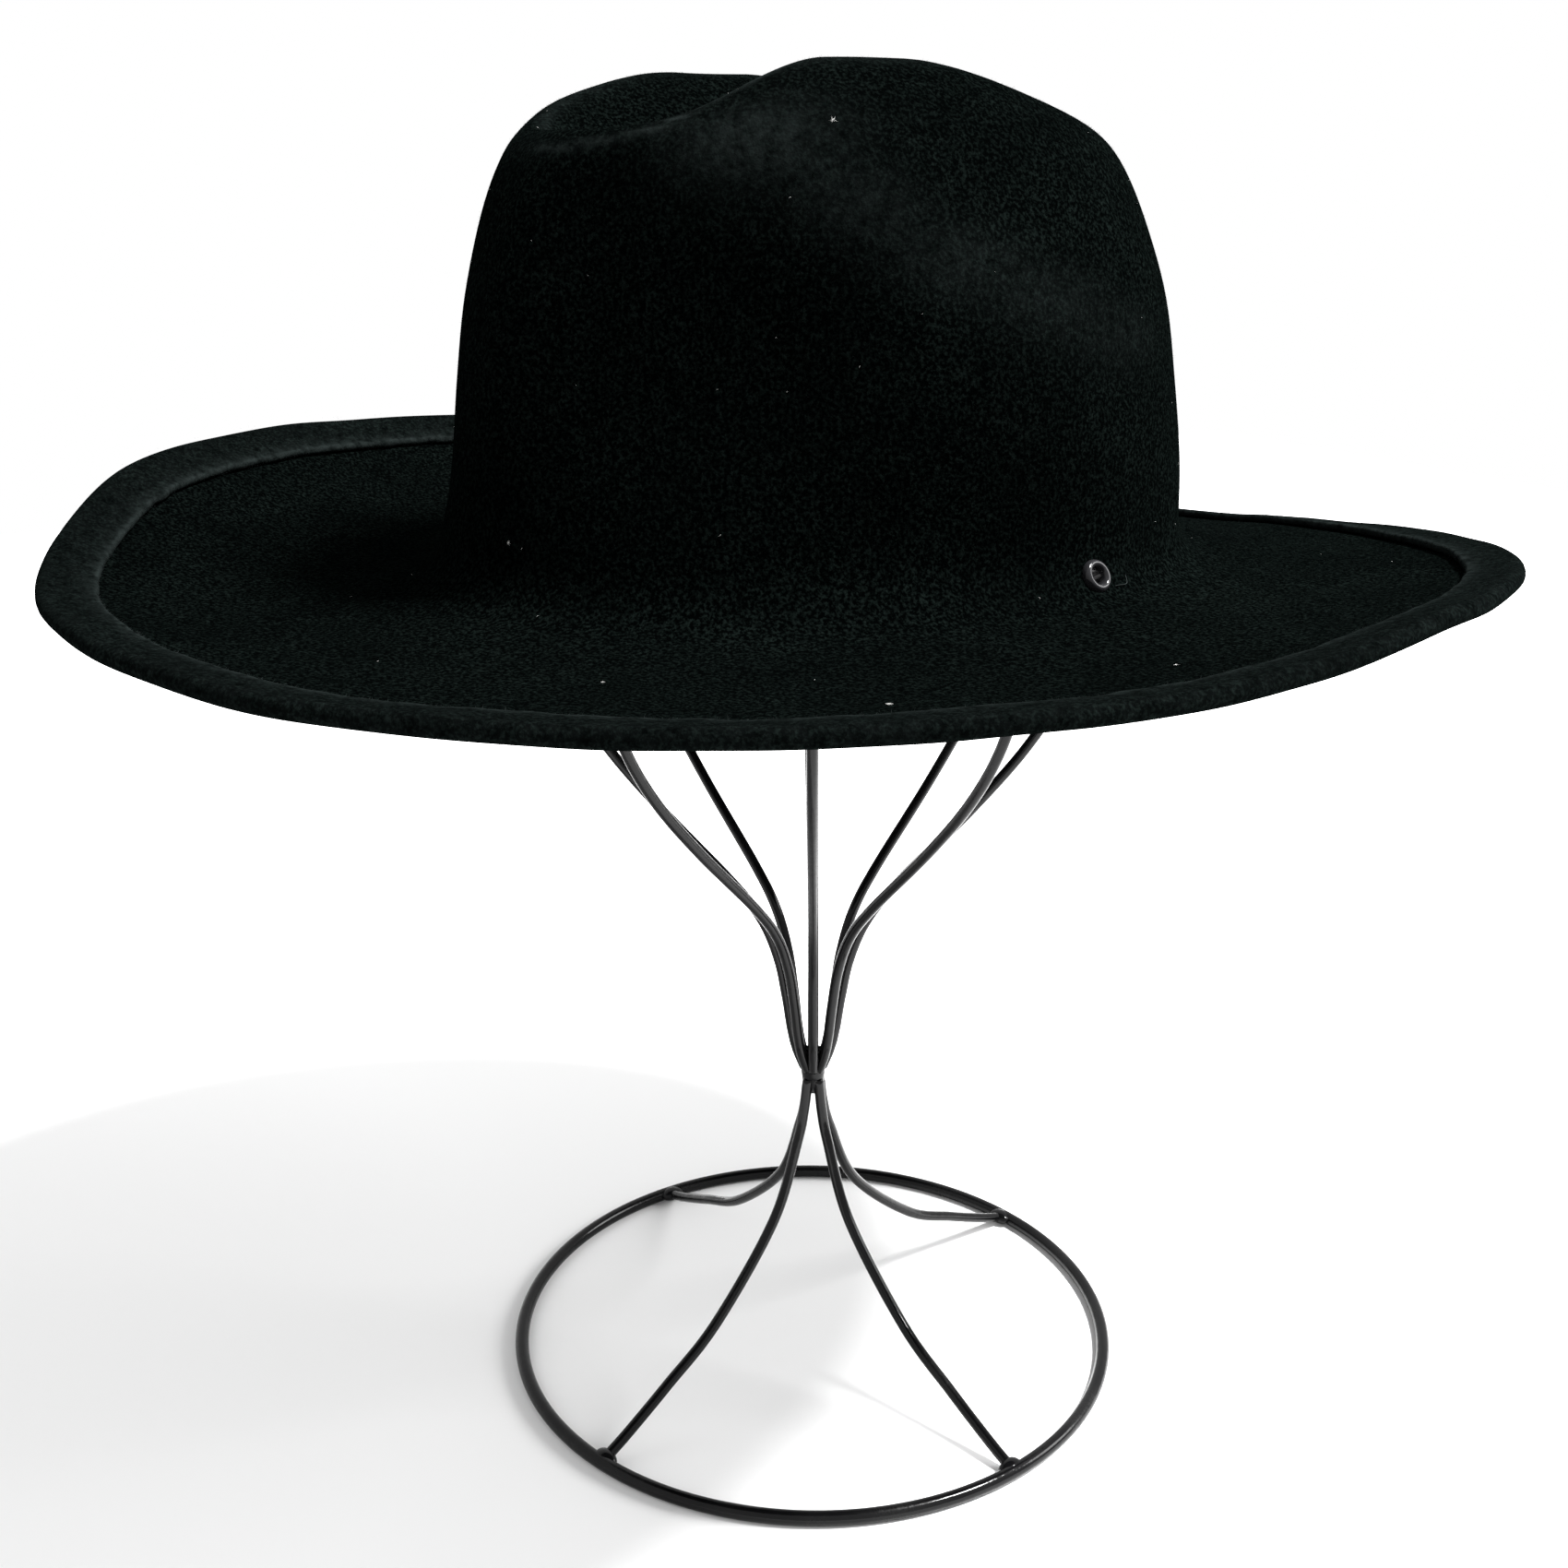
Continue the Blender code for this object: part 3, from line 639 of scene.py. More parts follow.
def cut_holes(piece, cutters):
    """Cut the cutters out of a piece, then drop them and their modifiers."""
    for cutter in cutters:
        difference = piece.modifiers.new("hole", "BOOLEAN")
        difference.operation = "DIFFERENCE"
        difference.solver = "EXACT"
        difference.object = cutter
    bpy.context.view_layer.update()
    evaluated = piece.evaluated_get(bpy.context.evaluated_depsgraph_get())
    mesh = bpy.data.meshes.new_from_object(evaluated)
    piece.modifiers.clear()
    piece.data = mesh
    for cutter in cutters:
        bpy.data.objects.remove(cutter, do_unlink=True)


def eyelet_place(turn):
    """The matrix that stands an eyelet on the rounded foot of the crown, square to the felt."""
    hat, eyelet = bpy.context.scene.hat_shape, bpy.context.scene.eyelet_shape
    point, normal, outwards = felt_frame(hat, np.array([turn]), np.array([eyelet.way]))
    z_axis, x_axis = Vector(normal[0]), Vector(outwards[0])
    turned = Matrix((x_axis, z_axis.cross(x_axis), z_axis)).transposed().to_4x4()
    return Matrix.Translation(Vector(point[0])) @ turned


def eyelet_turns():
    turn = bpy.context.scene.eyelet_shape.turn
    return {"left": turn, "right": np.pi - turn}


def turned_profile(profile, sides, place):
    """Corners of a profile of radii and heights turned about Z, put in place by a matrix."""
    profile = np.array(profile)
    angles = np.arange(sides) * 2 * np.pi / sides
    x = profile[:, :1] * np.cos(angles)
    y = profile[:, :1] * np.sin(angles)
    z = np.broadcast_to(profile[:, 1:], x.shape)
    corners = np.stack([x, y, z], -1)
    matrix = np.array(place)
    return corners @ matrix[:3, :3].T + matrix[:3, 3]


# Materials


class Nodes:
    """Adds nodes to a material's tree and joins them."""

    def __init__(self, name):
        self.material = bpy.data.materials.new(name)
        self.material.use_nodes = True
        self.tree = self.material.node_tree
        self.shader = self.tree.nodes["Principled BSDF"]

    def add(self, kind, **inputs):
        node = self.tree.nodes.new(kind)
        for name, value in inputs.items():
            socket = node.inputs[name.replace("_", " ")]
            if isinstance(value, bpy.types.NodeSocket):
                self.tree.links.new(value, socket)
            else:
                socket.default_value = value
        return node

    def join(self, output, name):
        self.tree.links.new(output, self.shader.inputs[name])

    def fix(self, **values):
        for name, value in values.items():
            self.shader.inputs[name.replace("_", " ")].default_value = value

    def noise(self, scale, detail=2.0, roughness=0.5, distortion=0.0):
        place = self.add("ShaderNodeTexCoord").outputs["Object"]
        inputs = {"Scale": scale, "Detail": detail, "Roughness": roughness, "Distortion": distortion}
        return self.add("ShaderNodeTexNoise", Vector=place, **inputs).outputs["Fac"]

    def stretch(self, value, low, high, out_low=0.0, out_high=1.0):
        node = self.add("ShaderNodeMapRange", Value=value)
        node.clamp = True
        for name, number in zip(("From Min", "From Max", "To Min", "To Max"), (low, high, out_low, out_high)):
            node.inputs[name].default_value = number
        return node.outputs["Result"]

    def sum(self, first, second, operation="ADD"):
        node = self.tree.nodes.new("ShaderNodeMath")
        node.operation = operation
        for socket, value in zip(node.inputs, (first, second)):
            if isinstance(value, bpy.types.NodeSocket):
                self.tree.links.new(value, socket)
            else:
                socket.default_value = value
        return node.outputs[0]

    def blend(self, factor, low, high):
        node = self.tree.nodes.new("ShaderNodeMix")
        node.data_type = "RGBA"
        self.tree.links.new(factor, node.inputs["Factor"])
        for socket, value in ((node.inputs[6], low), (node.inputs[7], high)):
            if isinstance(value, bpy.types.NodeSocket):
                self.tree.links.new(value, socket)
            else:
                socket.default_value = (*value, 1.0)
        return node.outputs[2]

    def bump(self, height, strength, distance, under=None):
        node = self.add("ShaderNodeBump", Height=height, Strength=strength, Distance=distance)
        if under:
            self.tree.links.new(under, node.inputs["Normal"])
        return node.outputs["Normal"]


def felt_material():
    """Black felt: grain of fine fibres, cloudy nap, painted highlights on the ridges, a band of the crown and the
    fold's edge, and a soft cool sheen.
    """
    finish = bpy.context.scene.felt_finish
    felt = Nodes("black felt")
    grain = felt.noise(1.0 / finish.grain, 4.0, 0.62)
    clumps = felt.noise(0.33 / finish.grain, 3.0, 0.6)
    cloud = felt.noise(26.0, 4.0, 0.6, 0.6)
    tips = felt.stretch(grain, 0.46, 0.66)
    tips = felt.sum(tips, felt.stretch(clumps, 0.3, 0.7, 0.55, 1.15), "MULTIPLY")
    tips = felt.sum(tips, felt.stretch(cloud, 0.3, 0.7, 0.55, 1.25), "MULTIPLY")
    body = felt.blend(tips, finish.felt_colour, finish.tip_colour)
    # Painted highlight: the felt's attribute, broken into patches by the clumps, blends the body towards the highlight
    # colour.
    worn = felt.tree.nodes.new("ShaderNodeAttribute")
    worn.attribute_name = "painted_highlight"
    patchy = felt.stretch(clumps, 0.3, 0.65, 0.15, 0.8)
    highlit = felt.sum(worn.outputs["Fac"], patchy, "MULTIPLY")
    felt.join(felt.blend(highlit, body, finish.highlight_and_fibre_colour), "Base Color")
    felt.join(felt.stretch(cloud, 0.3, 0.7, 0.90, 0.98), "Roughness")
    low = felt.bump(clumps, 0.5, 0.0006)
    felt.join(felt.bump(grain, 0.8, 0.00035, low), "Normal")
    felt.fix(Specular_IOR_Level=0.0, Sheen_Weight=0.0015, Sheen_Roughness=0.4, Sheen_Tint=(0.62, 0.86, 0.80, 1.0))
    return felt.material


def fibre_material(name, colour_value, spread):
    """Single fibres: their colour varies from one patch to the next."""
    fibre = Nodes(name)
    patch = fibre.noise(900.0, 2.0)
    light = tuple(min(1.0, part * (1 + spread)) for part in colour_value)
    dark = tuple(part * (1 - spread) for part in colour_value)
    fibre.join(fibre.blend(fibre.stretch(patch, 0.3, 0.7), dark, light), "Base Color")
    fibre.fix(Roughness=0.85, Specular_IOR_Level=0.03, Sheen_Weight=0.01, Sheen_Roughness=0.5)
    return fibre.material


def lacquer_material(name, colour_value, ripple):
    """Gloss black lacquer with a faint orange peel, dust in places and a clear coat."""
    lacquer = Nodes(name)
    peel = lacquer.noise(420.0, 2.0)
    dust = lacquer.noise(1500.0, 3.0, 0.7)
    dusty = lacquer.sum(lacquer.stretch(lacquer.noise(30.0, 3.0), 0.45, 0.75), dust, "MULTIPLY")
    pale = tuple(part + 0.008 for part in colour_value)
    lacquer.join(lacquer.blend(dusty, colour_value, pale), "Base Color")
    lacquer.join(lacquer.stretch(dusty, 0.0, 0.6, 0.13, 0.42), "Roughness")
    lacquer.join(lacquer.bump(peel, ripple, 0.0004), "Normal")
    lacquer.fix(Specular_IOR_Level=0.1, Coat_Weight=0.12, Coat_Roughness=0.06)
    return lacquer.material


def floor_material():
    stage = bpy.context.scene.stage_settings
    floor = Nodes("pale floor")
    faint = tuple(part * 0.985 for part in stage.floor_colour)
    floor.join(floor.blend(floor.noise(3.0, 3.0), faint, stage.floor_colour), "Base Color")
    floor.fix(Roughness=0.9, Specular_IOR_Level=0.1)
    return floor.material


# Operators


class HAT_OT_felt(Operator):
    """Make the felt: crown, brim and folded edge in one skin, with two eyelet holes"""

    bl_idname = "hat.felt"
    bl_label = "Felt hat"

    def execute(self, context):
        hat, eyelet = context.scene.hat_shape, context.scene.eyelet_shape
        turn = np.arange(hat.columns) * 2 * np.pi / hat.columns
        places, painted_highlight = felt_skin_places(hat, turn)
        way, above, past = places[:, 0], places[:, 1], places[:, 2]
        around = np.broadcast_to(turn, way.shape)
        points = felt_points(hat, around, way, above, past)
        rows = len(way)
        faces = grid_faces(rows, hat.columns).tolist()
        faces += crease_faces(0, hat.columns, True)
        faces += crease_faces((rows - 1) * hat.columns, hat.columns, False)
        felt = new_piece("felt_crown_and_brim", points, faces, felt_material(), 60)
        # The attribute holds each point's share of painted highlight for the felt material.
        set_attribute(felt, "painted_highlight", painted_highlight)
        face_outwards(felt)
        cutters = []
        radius = eyelet.barrel / 2 + 0.0001
        for side, eyelet_turn in eyelet_turns().items():
            reach = 3 * hat.felt_thickness
            profile = ((radius, -reach), (radius, reach))
            corners = turned_profile(profile, 24, eyelet_place(eyelet_turn))
            cutter = new_piece("hole_" + side, *closed_tubes([corners]), felt.data.materials[0])
            face_outwards(cutter)
            cutters.append(cutter)
        cut_holes(felt, cutters)
        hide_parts("felt_hat")
        return {"FINISHED"}


class HAT_OT_nap(Operator):
    """Scatter the nap's longer fibres over the felt, and fuzz along the fold's cut edge"""

    bl_idname = "hat.nap"
    bl_label = "Nap and fuzz"

    def execute(self, context):
        hat, finish = context.scene.hat_shape, context.scene.felt_finish
        self.scatter_nap(hat, finish)
        self.fuzz_fold(hat, finish)
        return {"FINISHED"}

    def scatter_nap(self, hat, finish):
        """Fibres leaning with the brushed nap, spread evenly over crown and brim."""
        generator = np.random.default_rng(NAP_SEED)
        number = finish.nap_count
        turn = generator.uniform(0, 2 * np.pi, number)
        on_brim = generator.random(number) < 0.42
        way = np.where(on_brim, generator.uniform(0.0, 1.0, number) ** 1.15, generator.uniform(1.0, 10.0, number))
        run = brim_run(hat, turn) - hat.foot_fillet
        folded = way < hat.fold_width / run
        above = np.where(folded, hat.felt_thickness, 0.0)
        points = felt_points(hat, turn, way, above, np.zeros(number))
        _, normal, outwards = felt_frame(hat, turn, way)
        round_way = np.cross(normal, outwards)
        lean = generator.normal(0, 0.5, (number, 2))
        direction = unit(normal + (0.9 + lean[:, :1]) * round_way + lean[:, 1:] * outwards)
        reach = finish.nap_length * generator.uniform(0.4, 1.3, (number, 1))
        roots = points - 0.00005 * normal
        paths = np.stack([roots, roots + reach * direction], 1)
        radii = np.broadcast_to(np.array([0.000018, 0.0]), (number, 2))
        fibre = fibre_material("nap fibre", finish.tip_colour, 0.5)
        nap = new_piece("felt_nap", *strands(paths, radii), fibre)

    def fuzz_fold(self, hat, finish):
        """Curved fibres standing out of the fold's raw cut edge."""
        generator = np.random.default_rng(FUZZ_SEED)
        number = finish.fuzz_count
        turn = generator.uniform(0, 2 * np.pi, number)
        run = brim_run(hat, turn) - hat.foot_fillet
        way = hat.fold_width / run
        above = hat.fold_stand + hat.felt_thickness * generator.uniform(0.05, 1.0, number)
        roots = felt_points(hat, turn, way, above, np.full(number, 0.0002))
        _, normal, outwards = felt_frame(hat, turn, way)
        round_way = np.cross(normal, outwards)
        spray = generator.normal(0, 0.55, (number, 3))
        first = unit(-outwards + 0.3 * normal + spray[:, :1] * round_way + spray[:, 1:2] * normal)
        turned = unit(first + 0.8 * normal + spray[:, 2:] * round_way)
        reach = generator.uniform(0.0003, 0.0011, (number, 1))
        paths = np.stack([roots, roots + 0.5 * reach * first, roots + 0.5 * reach * (first + turned)], 1)
        radii = np.broadcast_to(np.array([0.000022, 0.000018, 0.0]), (number, 3))
        # The fuzz on the fold's cut edge takes the painted highlight colour.
        fibre = fibre_material("fold fuzz", finish.highlight_and_fibre_colour, 0.4)
        fuzz = new_piece("fold_edge_fuzz", *strands(paths, radii), fibre)


class HAT_OT_lint(Operator):
    """Lay pale lint and one loose curved fibre on the felt"""

    bl_idname = "hat.lint"
    bl_label = "Lint"

    def execute(self, context):
        hat, finish = context.scene.hat_shape, context.scene.felt_finish
        pale = fibre_material("pale lint", finish.lint_colour, 0.3)
        table = np.array(SPECKS)
        generator = np.random.default_rng(LINT_SEED)
        scattered = np.stack(
            [
                generator.uniform(-180, 180, finish.lint_count),
                generator.uniform(0.05, 9.0, finish.lint_count),
                generator.uniform(0.0003, 0.0009, finish.lint_count),
            ],
            -1,
        )
        places = np.concatenate([np.repeat(table, 9, axis=0), scattered])
        lint = new_piece("lint", *strands(*self.fibres(hat, places, generator)), pale)
        dark = fibre_material("loose fibre", finish.highlight_and_fibre_colour, 0.3)
        loose = new_piece("loose_fibre", *strands(*self.loose_fibre(hat)), dark)
        return {"FINISHED"}

    def fibres(self, hat, places, generator):
        """Short arcs that lie on the nap, each turned and bent at random about its place."""
        number = len(places)
        turn = np.radians(places[:, 0])
        way, reach = places[:, 1], places[:, 2:]
        folded = way < hat.fold_width / (brim_run(hat, turn) - hat.foot_fillet)
        above = np.where(folded, hat.felt_thickness, 0.0) + 0.00012
        middle = felt_points(hat, turn, way, above, np.zeros(number))
        _, normal, outwards = felt_frame(hat, turn, way)
        round_way = np.cross(normal, outwards)
        heading = generator.uniform(0, 2 * np.pi, (number, 1))
        along = np.cos(heading) * round_way + np.sin(heading) * outwards
        beside = np.cross(normal, along)
        reach = reach * generator.uniform(0.35, 1.0, (number, 1))
        curl = generator.uniform(-0.5, 0.5, (number, 1)) * reach
        middle = middle + generator.normal(0, 0.0002, (number, 1)) * beside
        steps = np.linspace(-0.5, 0.5, 5)
        paths = [
            middle + step * reach * along + 4 * step**2 * curl * beside + 0.00006 * np.cos(6 * step) * normal
            for step in steps
        ]
        radii = 0.000035 * np.array([0.6, 1.0, 1.0, 0.8, 0.0])
        return np.stack(paths, 1), np.broadcast_to(radii, (number, 5))

    def loose_fibre(self, hat):
        """One curled fibre that stands off the felt behind the left eyelet."""
        steps = np.linspace(0, 1, 14)
        turn = np.radians(20.5 + 3.5 * steps)
        way = 1.47 + 0.16 * steps
        lift = 0.0001 + 0.0011 * np.sin(np.pi * steps**0.8)
        points, normal, outwards = felt_frame(hat, turn, way)
        path = points + lift[:, None] * normal + 0.0016 * np.sin(np.pi * steps)[:, None] * outwards
        radii = 0.00009 * np.append(np.ones(13), 0.0)
        return path[None], radii[None]


class HAT_OT_eyelets(Operator):
    """Make both eyelets: a rolled front, a barrel through the felt and a clinched back"""

    bl_idname = "hat.eyelets"
    bl_label = "Eyelets"

    def execute(self, context):
        hat, eyelet = context.scene.hat_shape, context.scene.eyelet_shape
        enamel = lacquer_material("eyelet enamel", eyelet.enamel, 0.15)
        for side, turn in eyelet_turns().items():
            corners = turned_profile(self.section(hat, eyelet), 64, eyelet_place(turn))
            faces = grid_faces(*corners.shape[:2], closed_along=True).tolist()
            piece = new_piece("eyelet_ring_" + side, corners, faces, enamel, 60)
            face_outwards(piece)
            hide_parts("eyelet_" + side)
        return {"FINISHED"}

    def section(self, hat, eyelet):
        """Radii and heights round the section: half an oval for the roll, straight barrel, small clinched lip."""
        hole, barrel = eyelet.hole / 2, eyelet.barrel / 2
        middle = (hole + eyelet.flange / 2) / 2
        half = eyelet.flange / 2 - middle
        bend = np.linspace(-0.25, np.pi + 0.1, 15)
        roll = np.stack([middle + half * np.cos(bend), 0.0002 + eyelet.flange_thickness * np.sin(bend)], -1)
        back_seat = -hat.felt_thickness - 0.0002
        back_middle = (hole + eyelet.back_flange / 2) / 2
        back_half = eyelet.back_flange / 2 - back_middle
        bend = np.linspace(np.pi, 2 * np.pi + 0.3, 11)
        clinch = np.stack(
            [back_middle + back_half * np.cos(bend), back_seat + eyelet.back_thickness * np.sin(bend)], -1
        )
        barrel_wall = np.array([(barrel, back_seat + 0.0002), (barrel, -0.0001)])
        return np.concatenate([roll, clinch, barrel_wall])


class HAT_OT_stand(Operator):
    """Make the wire stand: base ring, legs, ribs and their welds"""

    bl_idname = "hat.stand"
    bl_label = "Wire stand"

    def execute(self, context):
        stand = context.scene.stand_shape
        lacquer = lacquer_material("gloss black lacquer", stand.lacquer, 0.25)
        self.base_ring(stand, lacquer)
        self.legs(stand, lacquer)
        self.ribs(stand, lacquer)
        self.welds(stand, lacquer)
        return {"FINISHED"}

    def axis(self):
        return np.array([0.0, bpy.context.scene.hat_shape.brim_forward, 0.0])

    def wire_path(self, heights, radii, turn):
        outwards = np.array([np.cos(turn), np.sin(turn), 0.0])
        return radii[:, None] * outwards + heights[:, None] * np.array([0.0, 0.0, 1.0]) + self.axis()

    def wires(self, heights, radii, turns, thickness):
        """Round wires in the upright plane of each turn, their ends closed with half a ball."""
        tubes = []
        for turn in turns:
            sideways = np.array([-np.sin(turn), np.cos(turn), 0.0])
            path, wire_radii = rounded_ends(self.wire_path(heights, radii, turn), thickness / 2)
            tubes.append(tube(path, sideways, wire_radii, 16))
        return closed_tubes(tubes)

    def base_ring(self, stand, material):
        """A circle of wire carried round the stand's axis."""
        turn = np.arange(288) * 2 * np.pi / 288
        side = np.arange(20) * 2 * np.pi / 20
        radius = stand.ring_radius + stand.ring_wire / 2 * np.cos(side)[None, :] + 0 * turn[:, None]
        height = stand.ring_wire / 2 * (1 + np.sin(side))[None, :] + 0 * turn[:, None]
        x, y = radius * np.cos(turn)[:, None], radius * np.sin(turn)[:, None]
        points = np.stack([x, y, height], -1) + self.axis()
        faces = grid_faces(288, 20, closed_along=True).tolist()
        ring = new_piece("stand_base_ring", points, faces, material)
        face_outwards(ring)
        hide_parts("base_ring")

    def legs(self, stand, material):
        bends = spline(LEG_BENDS, np.linspace(0, len(LEG_BENDS) - 1, 90))
        foot = stand.ring_wire / 2
        heights = foot + (stand.waist_height - foot) * bends[:, 0]
        radii = (stand.ring_radius - 0.4 * stand.ring_wire) * bends[:, 1]
        legs = new_piece("stand_legs", *self.wires(heights, radii, LEG_TURNS, stand.leg_wire), material)
        face_outwards(legs)
        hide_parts(*(f"leg_{number}" for number in range(1, 5)))

    def ribs(self, stand, material):
        """Ribs that flare from the waist and dome over a quarter of an oval to the top weld."""
        foot = stand.waist_height + stand.waist_weld_height
        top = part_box("top_weld")[1].z
        bends = spline(RIB_BENDS, np.linspace(0, len(RIB_BENDS) - 1, 100))
        heights = foot + (stand.cage_height - foot) * bends[:, 0]
        last_bend = np.arccos(0.8 * stand.top_weld_radius / stand.cage_radius)
        bend = np.linspace(0, last_bend, 50)[1:]
        rise = top - stand.top_weld_thickness / 2 - stand.cage_height
        heights = np.append(heights, stand.cage_height + rise * np.sin(bend) / np.sin(last_bend))
        flare = stand.rib_foot_radius + (stand.cage_radius - stand.rib_foot_radius) * bends[:, 1]
        radii = np.append(flare, stand.cage_radius * np.cos(bend))
        tuck = spline(RIB_TUCK, np.linspace(0, len(RIB_TUCK) - 1, 12))[:-1]
        heights = np.append(stand.waist_height + stand.waist_weld_height * tuck[:, 0], heights)
        radii = np.append(stand.rib_foot_radius * tuck[:, 1], radii)
        ribs = new_piece("stand_ribs", *self.wires(heights, radii, RIB_TURNS, stand.rib_wire), material)
        face_outwards(ribs)
        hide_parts(*(f"rib_{number}" for number in range(1, 9)))

    def welds(self, stand, material):
        """Waist and top welds turned from a rounded profile, and a bead where each leg meets the ring."""
        waist = stand.waist_height
        rise = stand.waist_weld_height
        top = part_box("top_weld")[1].z
        shares = np.array(WAIST_WELD)
        profile = np.stack([shares[:, 1] * stand.rib_foot_radius, waist + rise * shares[:, 0]], -1)
        place = Matrix.Translation(Vector(self.axis()))
        waist_weld = new_piece("stand_waist_weld", *closed_tubes([turned_profile(profile, 32, place)]), material, 60)
        face_outwards(waist_weld)
        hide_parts("waist_weld")
        self.beads(stand, material)
        radius, thickness = stand.top_weld_radius, stand.top_weld_thickness
        bend = np.linspace(-np.pi / 2, np.pi / 2, 13)
        button = np.stack(
            [
                np.maximum(radius * np.cos(bend) ** 0.5, 0.0001),
                top - thickness / 2 + thickness / 2 * np.sin(bend),
            ],
            -1,
        )
        top_weld = new_piece("stand_top_weld", *closed_tubes([turned_profile(button, 32, place)]), material, 60)
        face_outwards(top_weld)
        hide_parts("top_weld")


    def beads(self, stand, material):
        """A lump of weld where each leg meets the ring: a ball stretched round the ring and along the leg."""
        bend = np.linspace(-np.pi / 2, np.pi / 2, 17)
        around = np.linspace(0, 2 * np.pi, 28, endpoint=False)
        balls = []
        for number, turn in enumerate(LEG_TURNS):
            lump = 1 + 0.09 * np.sin(3 * around + number) * np.cos(bend)[:, None] ** 2
            out = 0.0029 * lump * np.cos(bend)[:, None] * np.cos(around)
            side = 0.0038 * lump * np.cos(bend)[:, None] * np.sin(around)
            up = 0.0021 * np.broadcast_to(np.sin(bend)[:, None], out.shape)
            outwards = np.array([np.cos(turn), np.sin(turn), 0.0])
            sideways = np.array([-np.sin(turn), np.cos(turn), 0.0])
            middle = (stand.ring_radius - 0.0016) * outwards + np.array([0.0, 0.0, 0.0023]) + self.axis()
            corners = out[..., None] * outwards + side[..., None] * sideways + up[..., None] * [0.0, 0.0, 1.0]
            balls.append(corners + middle)
        beads = new_piece("stand_weld_beads", *closed_tubes(balls), material)
        face_outwards(beads)


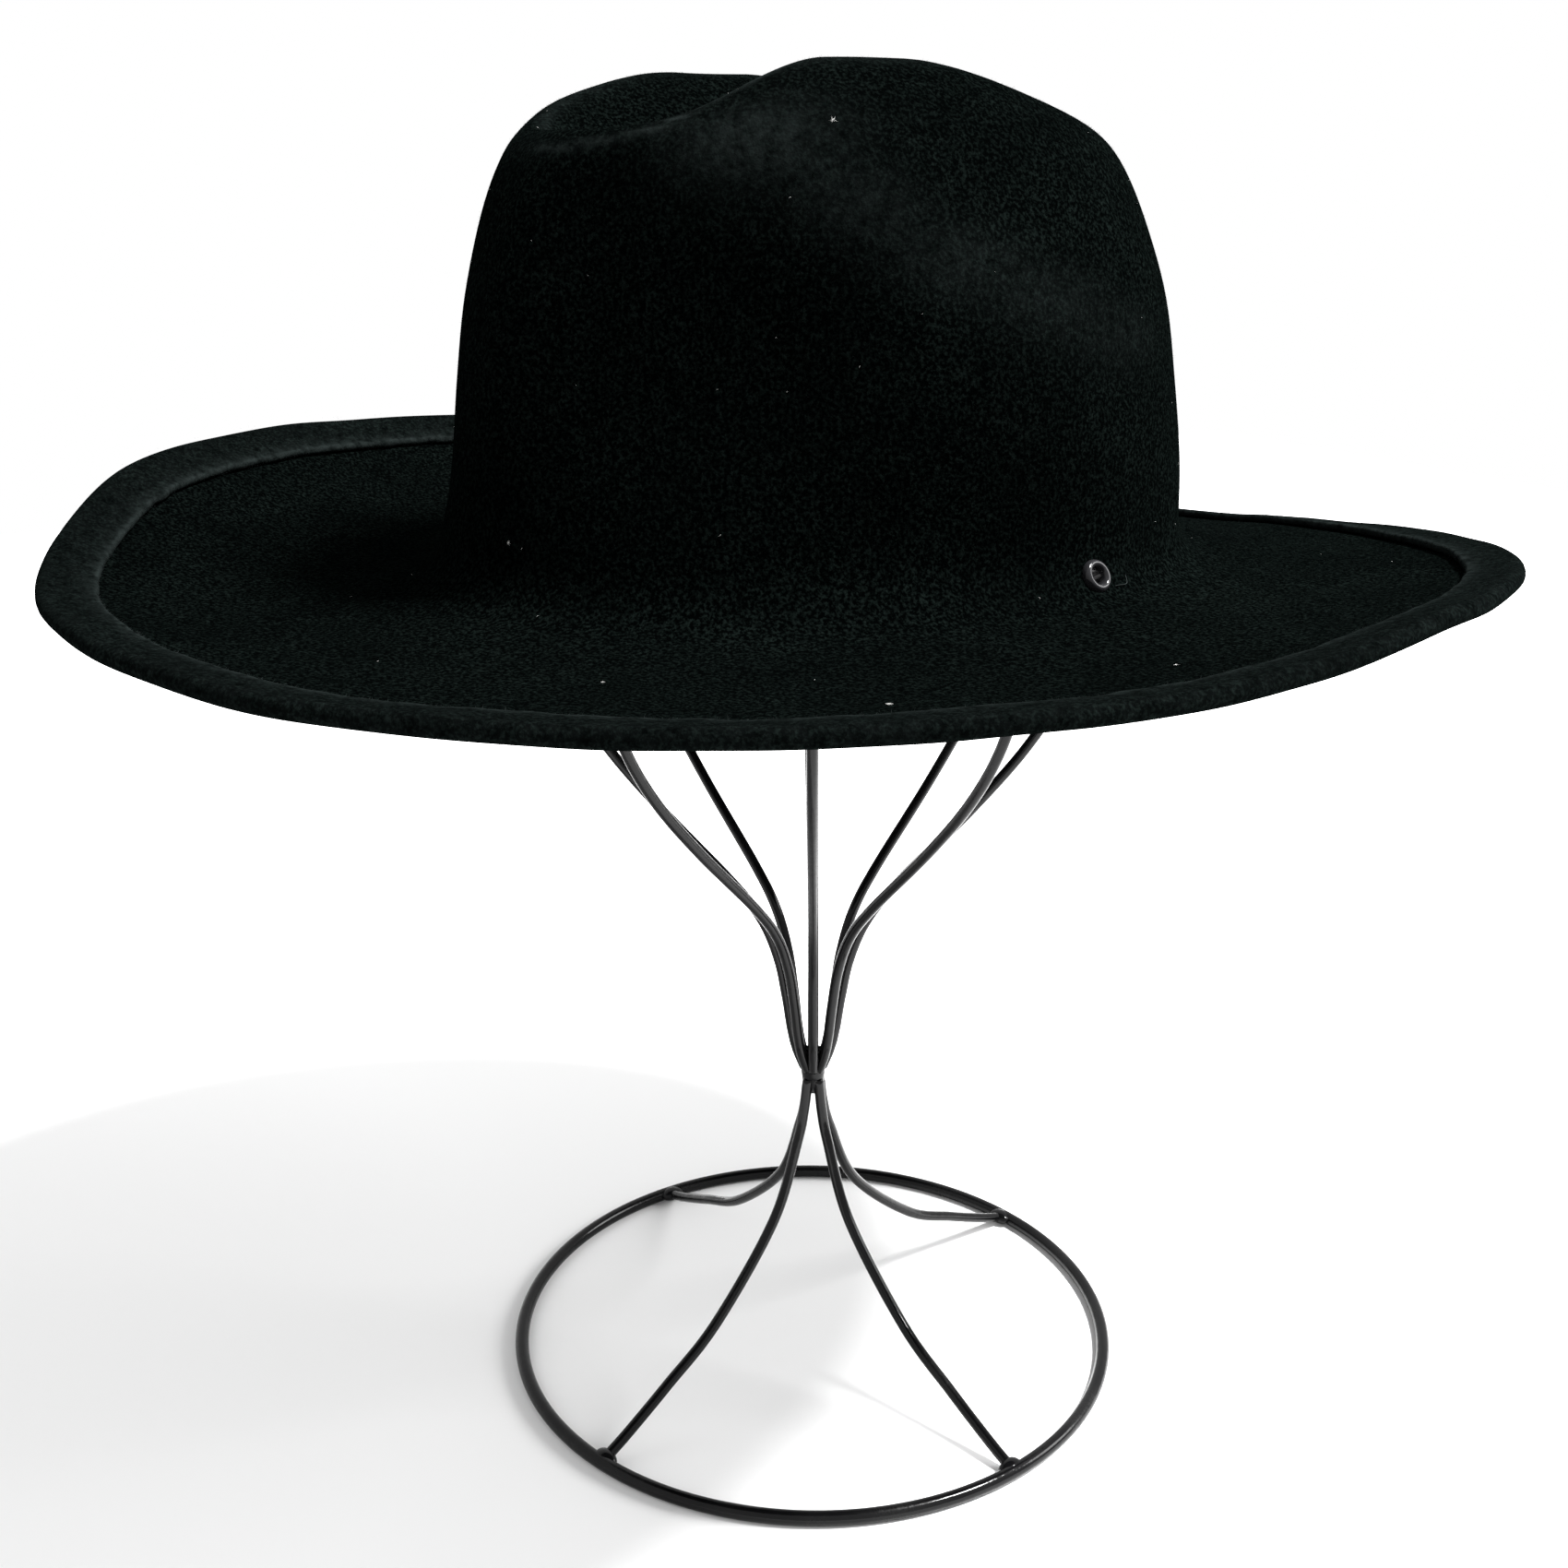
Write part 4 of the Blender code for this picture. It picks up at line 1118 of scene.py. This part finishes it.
class HAT_OT_stage(Operator):
    """Lay the pale floor and set the light and the camera"""

    bl_idname = "hat.stage"
    bl_label = "Stage"

    def execute(self, context):
        stage = context.scene.stage_settings
        self.floor(stage)
        self.room(context, stage)
        axes = self.camera_axes(stage)
        self.camera(context, stage, axes)
        self.lights(context, stage, axes)
        return {"FINISHED"}

    def floor(self, stage):
        half = stage.floor_size / 2
        points = [(-half, -half, 0), (half, -half, 0), (half, half, 0), (-half, half, 0)]
        mesh = bpy.data.meshes.new("floor")
        mesh.from_pydata(points, [], [(0, 1, 2, 3)])
        mesh.materials.append(floor_material())
        floor = bpy.data.objects.new("floor", mesh)
        bpy.context.scene.collection.objects.link(floor)

    def room(self, context, stage):
        world = bpy.data.worlds.new("pale room")
        world.use_nodes = True
        background = world.node_tree.nodes["Background"]
        background.inputs["Color"].default_value = (*stage.sky_colour, 1.0)
        background.inputs["Strength"].default_value = 1.0
        context.scene.world = world
        context.scene.view_settings.view_transform = "Standard"

    def camera_axes(self, stage):
        """Right, up and forward of a camera turned round the stand, panned and tilted down."""
        turn, pan, tilt = stage.camera_turn, stage.camera_pan, stage.camera_tilt
        right = np.array([np.cos(turn), np.sin(turn), 0.0])
        ahead = np.array([-np.sin(turn), np.cos(turn), 0.0])
        level = ahead * np.cos(pan) + right * np.sin(pan)
        right = right * np.cos(pan) - ahead * np.sin(pan)
        forward = level * np.cos(tilt) - np.array([0.0, 0.0, np.sin(tilt)])
        return right, np.cross(right, forward), forward

    def camera(self, context, stage, axes):
        right, up, forward = (Vector(axis) for axis in axes)
        data = bpy.data.cameras.new("camera")
        data.lens = stage.focal_length
        data.sensor_width = 36.0
        data.clip_end = 50.0
        camera = bpy.data.objects.new("camera", data)
        turned = Matrix((right, up, -forward)).transposed().to_4x4()
        camera.matrix_world = Matrix.Translation(Vector(stage.camera_place)) @ turned
        context.scene.collection.objects.link(camera)
        context.scene.camera = camera

    def lights(self, context, stage, axes):
        """Soft boxes, each placed from the hat's middle along the camera's right, up and backwards."""
        boxes = (
            ("overhead", (1.2, 1.8, 0.75), 0.6, 230.0),
            ("right side", (1.9, 0.9, 0.1), 0.9, 30.0),
        )
        right, up, forward = axes
        middle = np.array([0.0, 0.0, 0.26])
        for name, (across, over, back), size, power in boxes:
            data = bpy.data.lights.new(name, "AREA")
            data.shape = "DISK"
            data.size = size
            data.energy = power
            light = bpy.data.objects.new(name, data)
            place = Vector(middle + across * right + over * up - back * forward)
            aim = (Vector(middle) - place).to_track_quat("-Z", "Y")
            light.matrix_world = Matrix.Translation(place) @ aim.to_matrix().to_4x4()
            context.scene.collection.objects.link(light)


class HAT_PT_panel(Panel):
    """Sizes and operators of the hat and its stand"""

    bl_label = "Hat and stand"
    bl_idname = "HAT_PT_panel"
    bl_space_type = "VIEW_3D"
    bl_region_type = "UI"
    bl_category = "Hat"

    def draw(self, context):
        for name, operators in PANEL_PARTS:
            settings = getattr(context.scene, name)
            box = self.layout.box()
            for key in settings.bl_rna.properties.keys():
                if key not in ("rna_type", "name"):
                    box.prop(settings, key)
            for operator in operators:
                box.operator(operator)


PANEL_PARTS = (
    ("hat_shape", ("hat.felt",)),
    ("felt_finish", ("hat.nap", "hat.lint")),
    ("eyelet_shape", ("hat.eyelets",)),
    ("stand_shape", ("hat.stand",)),
    ("stage_settings", ("hat.stage",)),
)
SETTINGS = {
    "hat_shape": HatShape,
    "felt_finish": FeltFinish,
    "eyelet_shape": EyeletShape,
    "stand_shape": StandShape,
    "stage_settings": StageSettings,
}
CLASSES = (
    *SETTINGS.values(),
    HAT_OT_felt,
    HAT_OT_nap,
    HAT_OT_lint,
    HAT_OT_eyelets,
    HAT_OT_stand,
    HAT_OT_stage,
    HAT_PT_panel,
)


def register():
    for item in CLASSES:
        bpy.utils.register_class(item)
    for name, group in SETTINGS.items():
        setattr(bpy.types.Scene, name, PointerProperty(type=group))


def unregister():
    for name in SETTINGS:
        delattr(bpy.types.Scene, name)
    for item in reversed(CLASSES):
        bpy.utils.unregister_class(item)


def main():
    register()
    bpy.ops.hat.felt()
    bpy.ops.hat.nap()
    bpy.ops.hat.lint()
    bpy.ops.hat.eyelets()
    bpy.ops.hat.stand()
    bpy.ops.hat.stage()


if __name__ == "__main__":
    main()
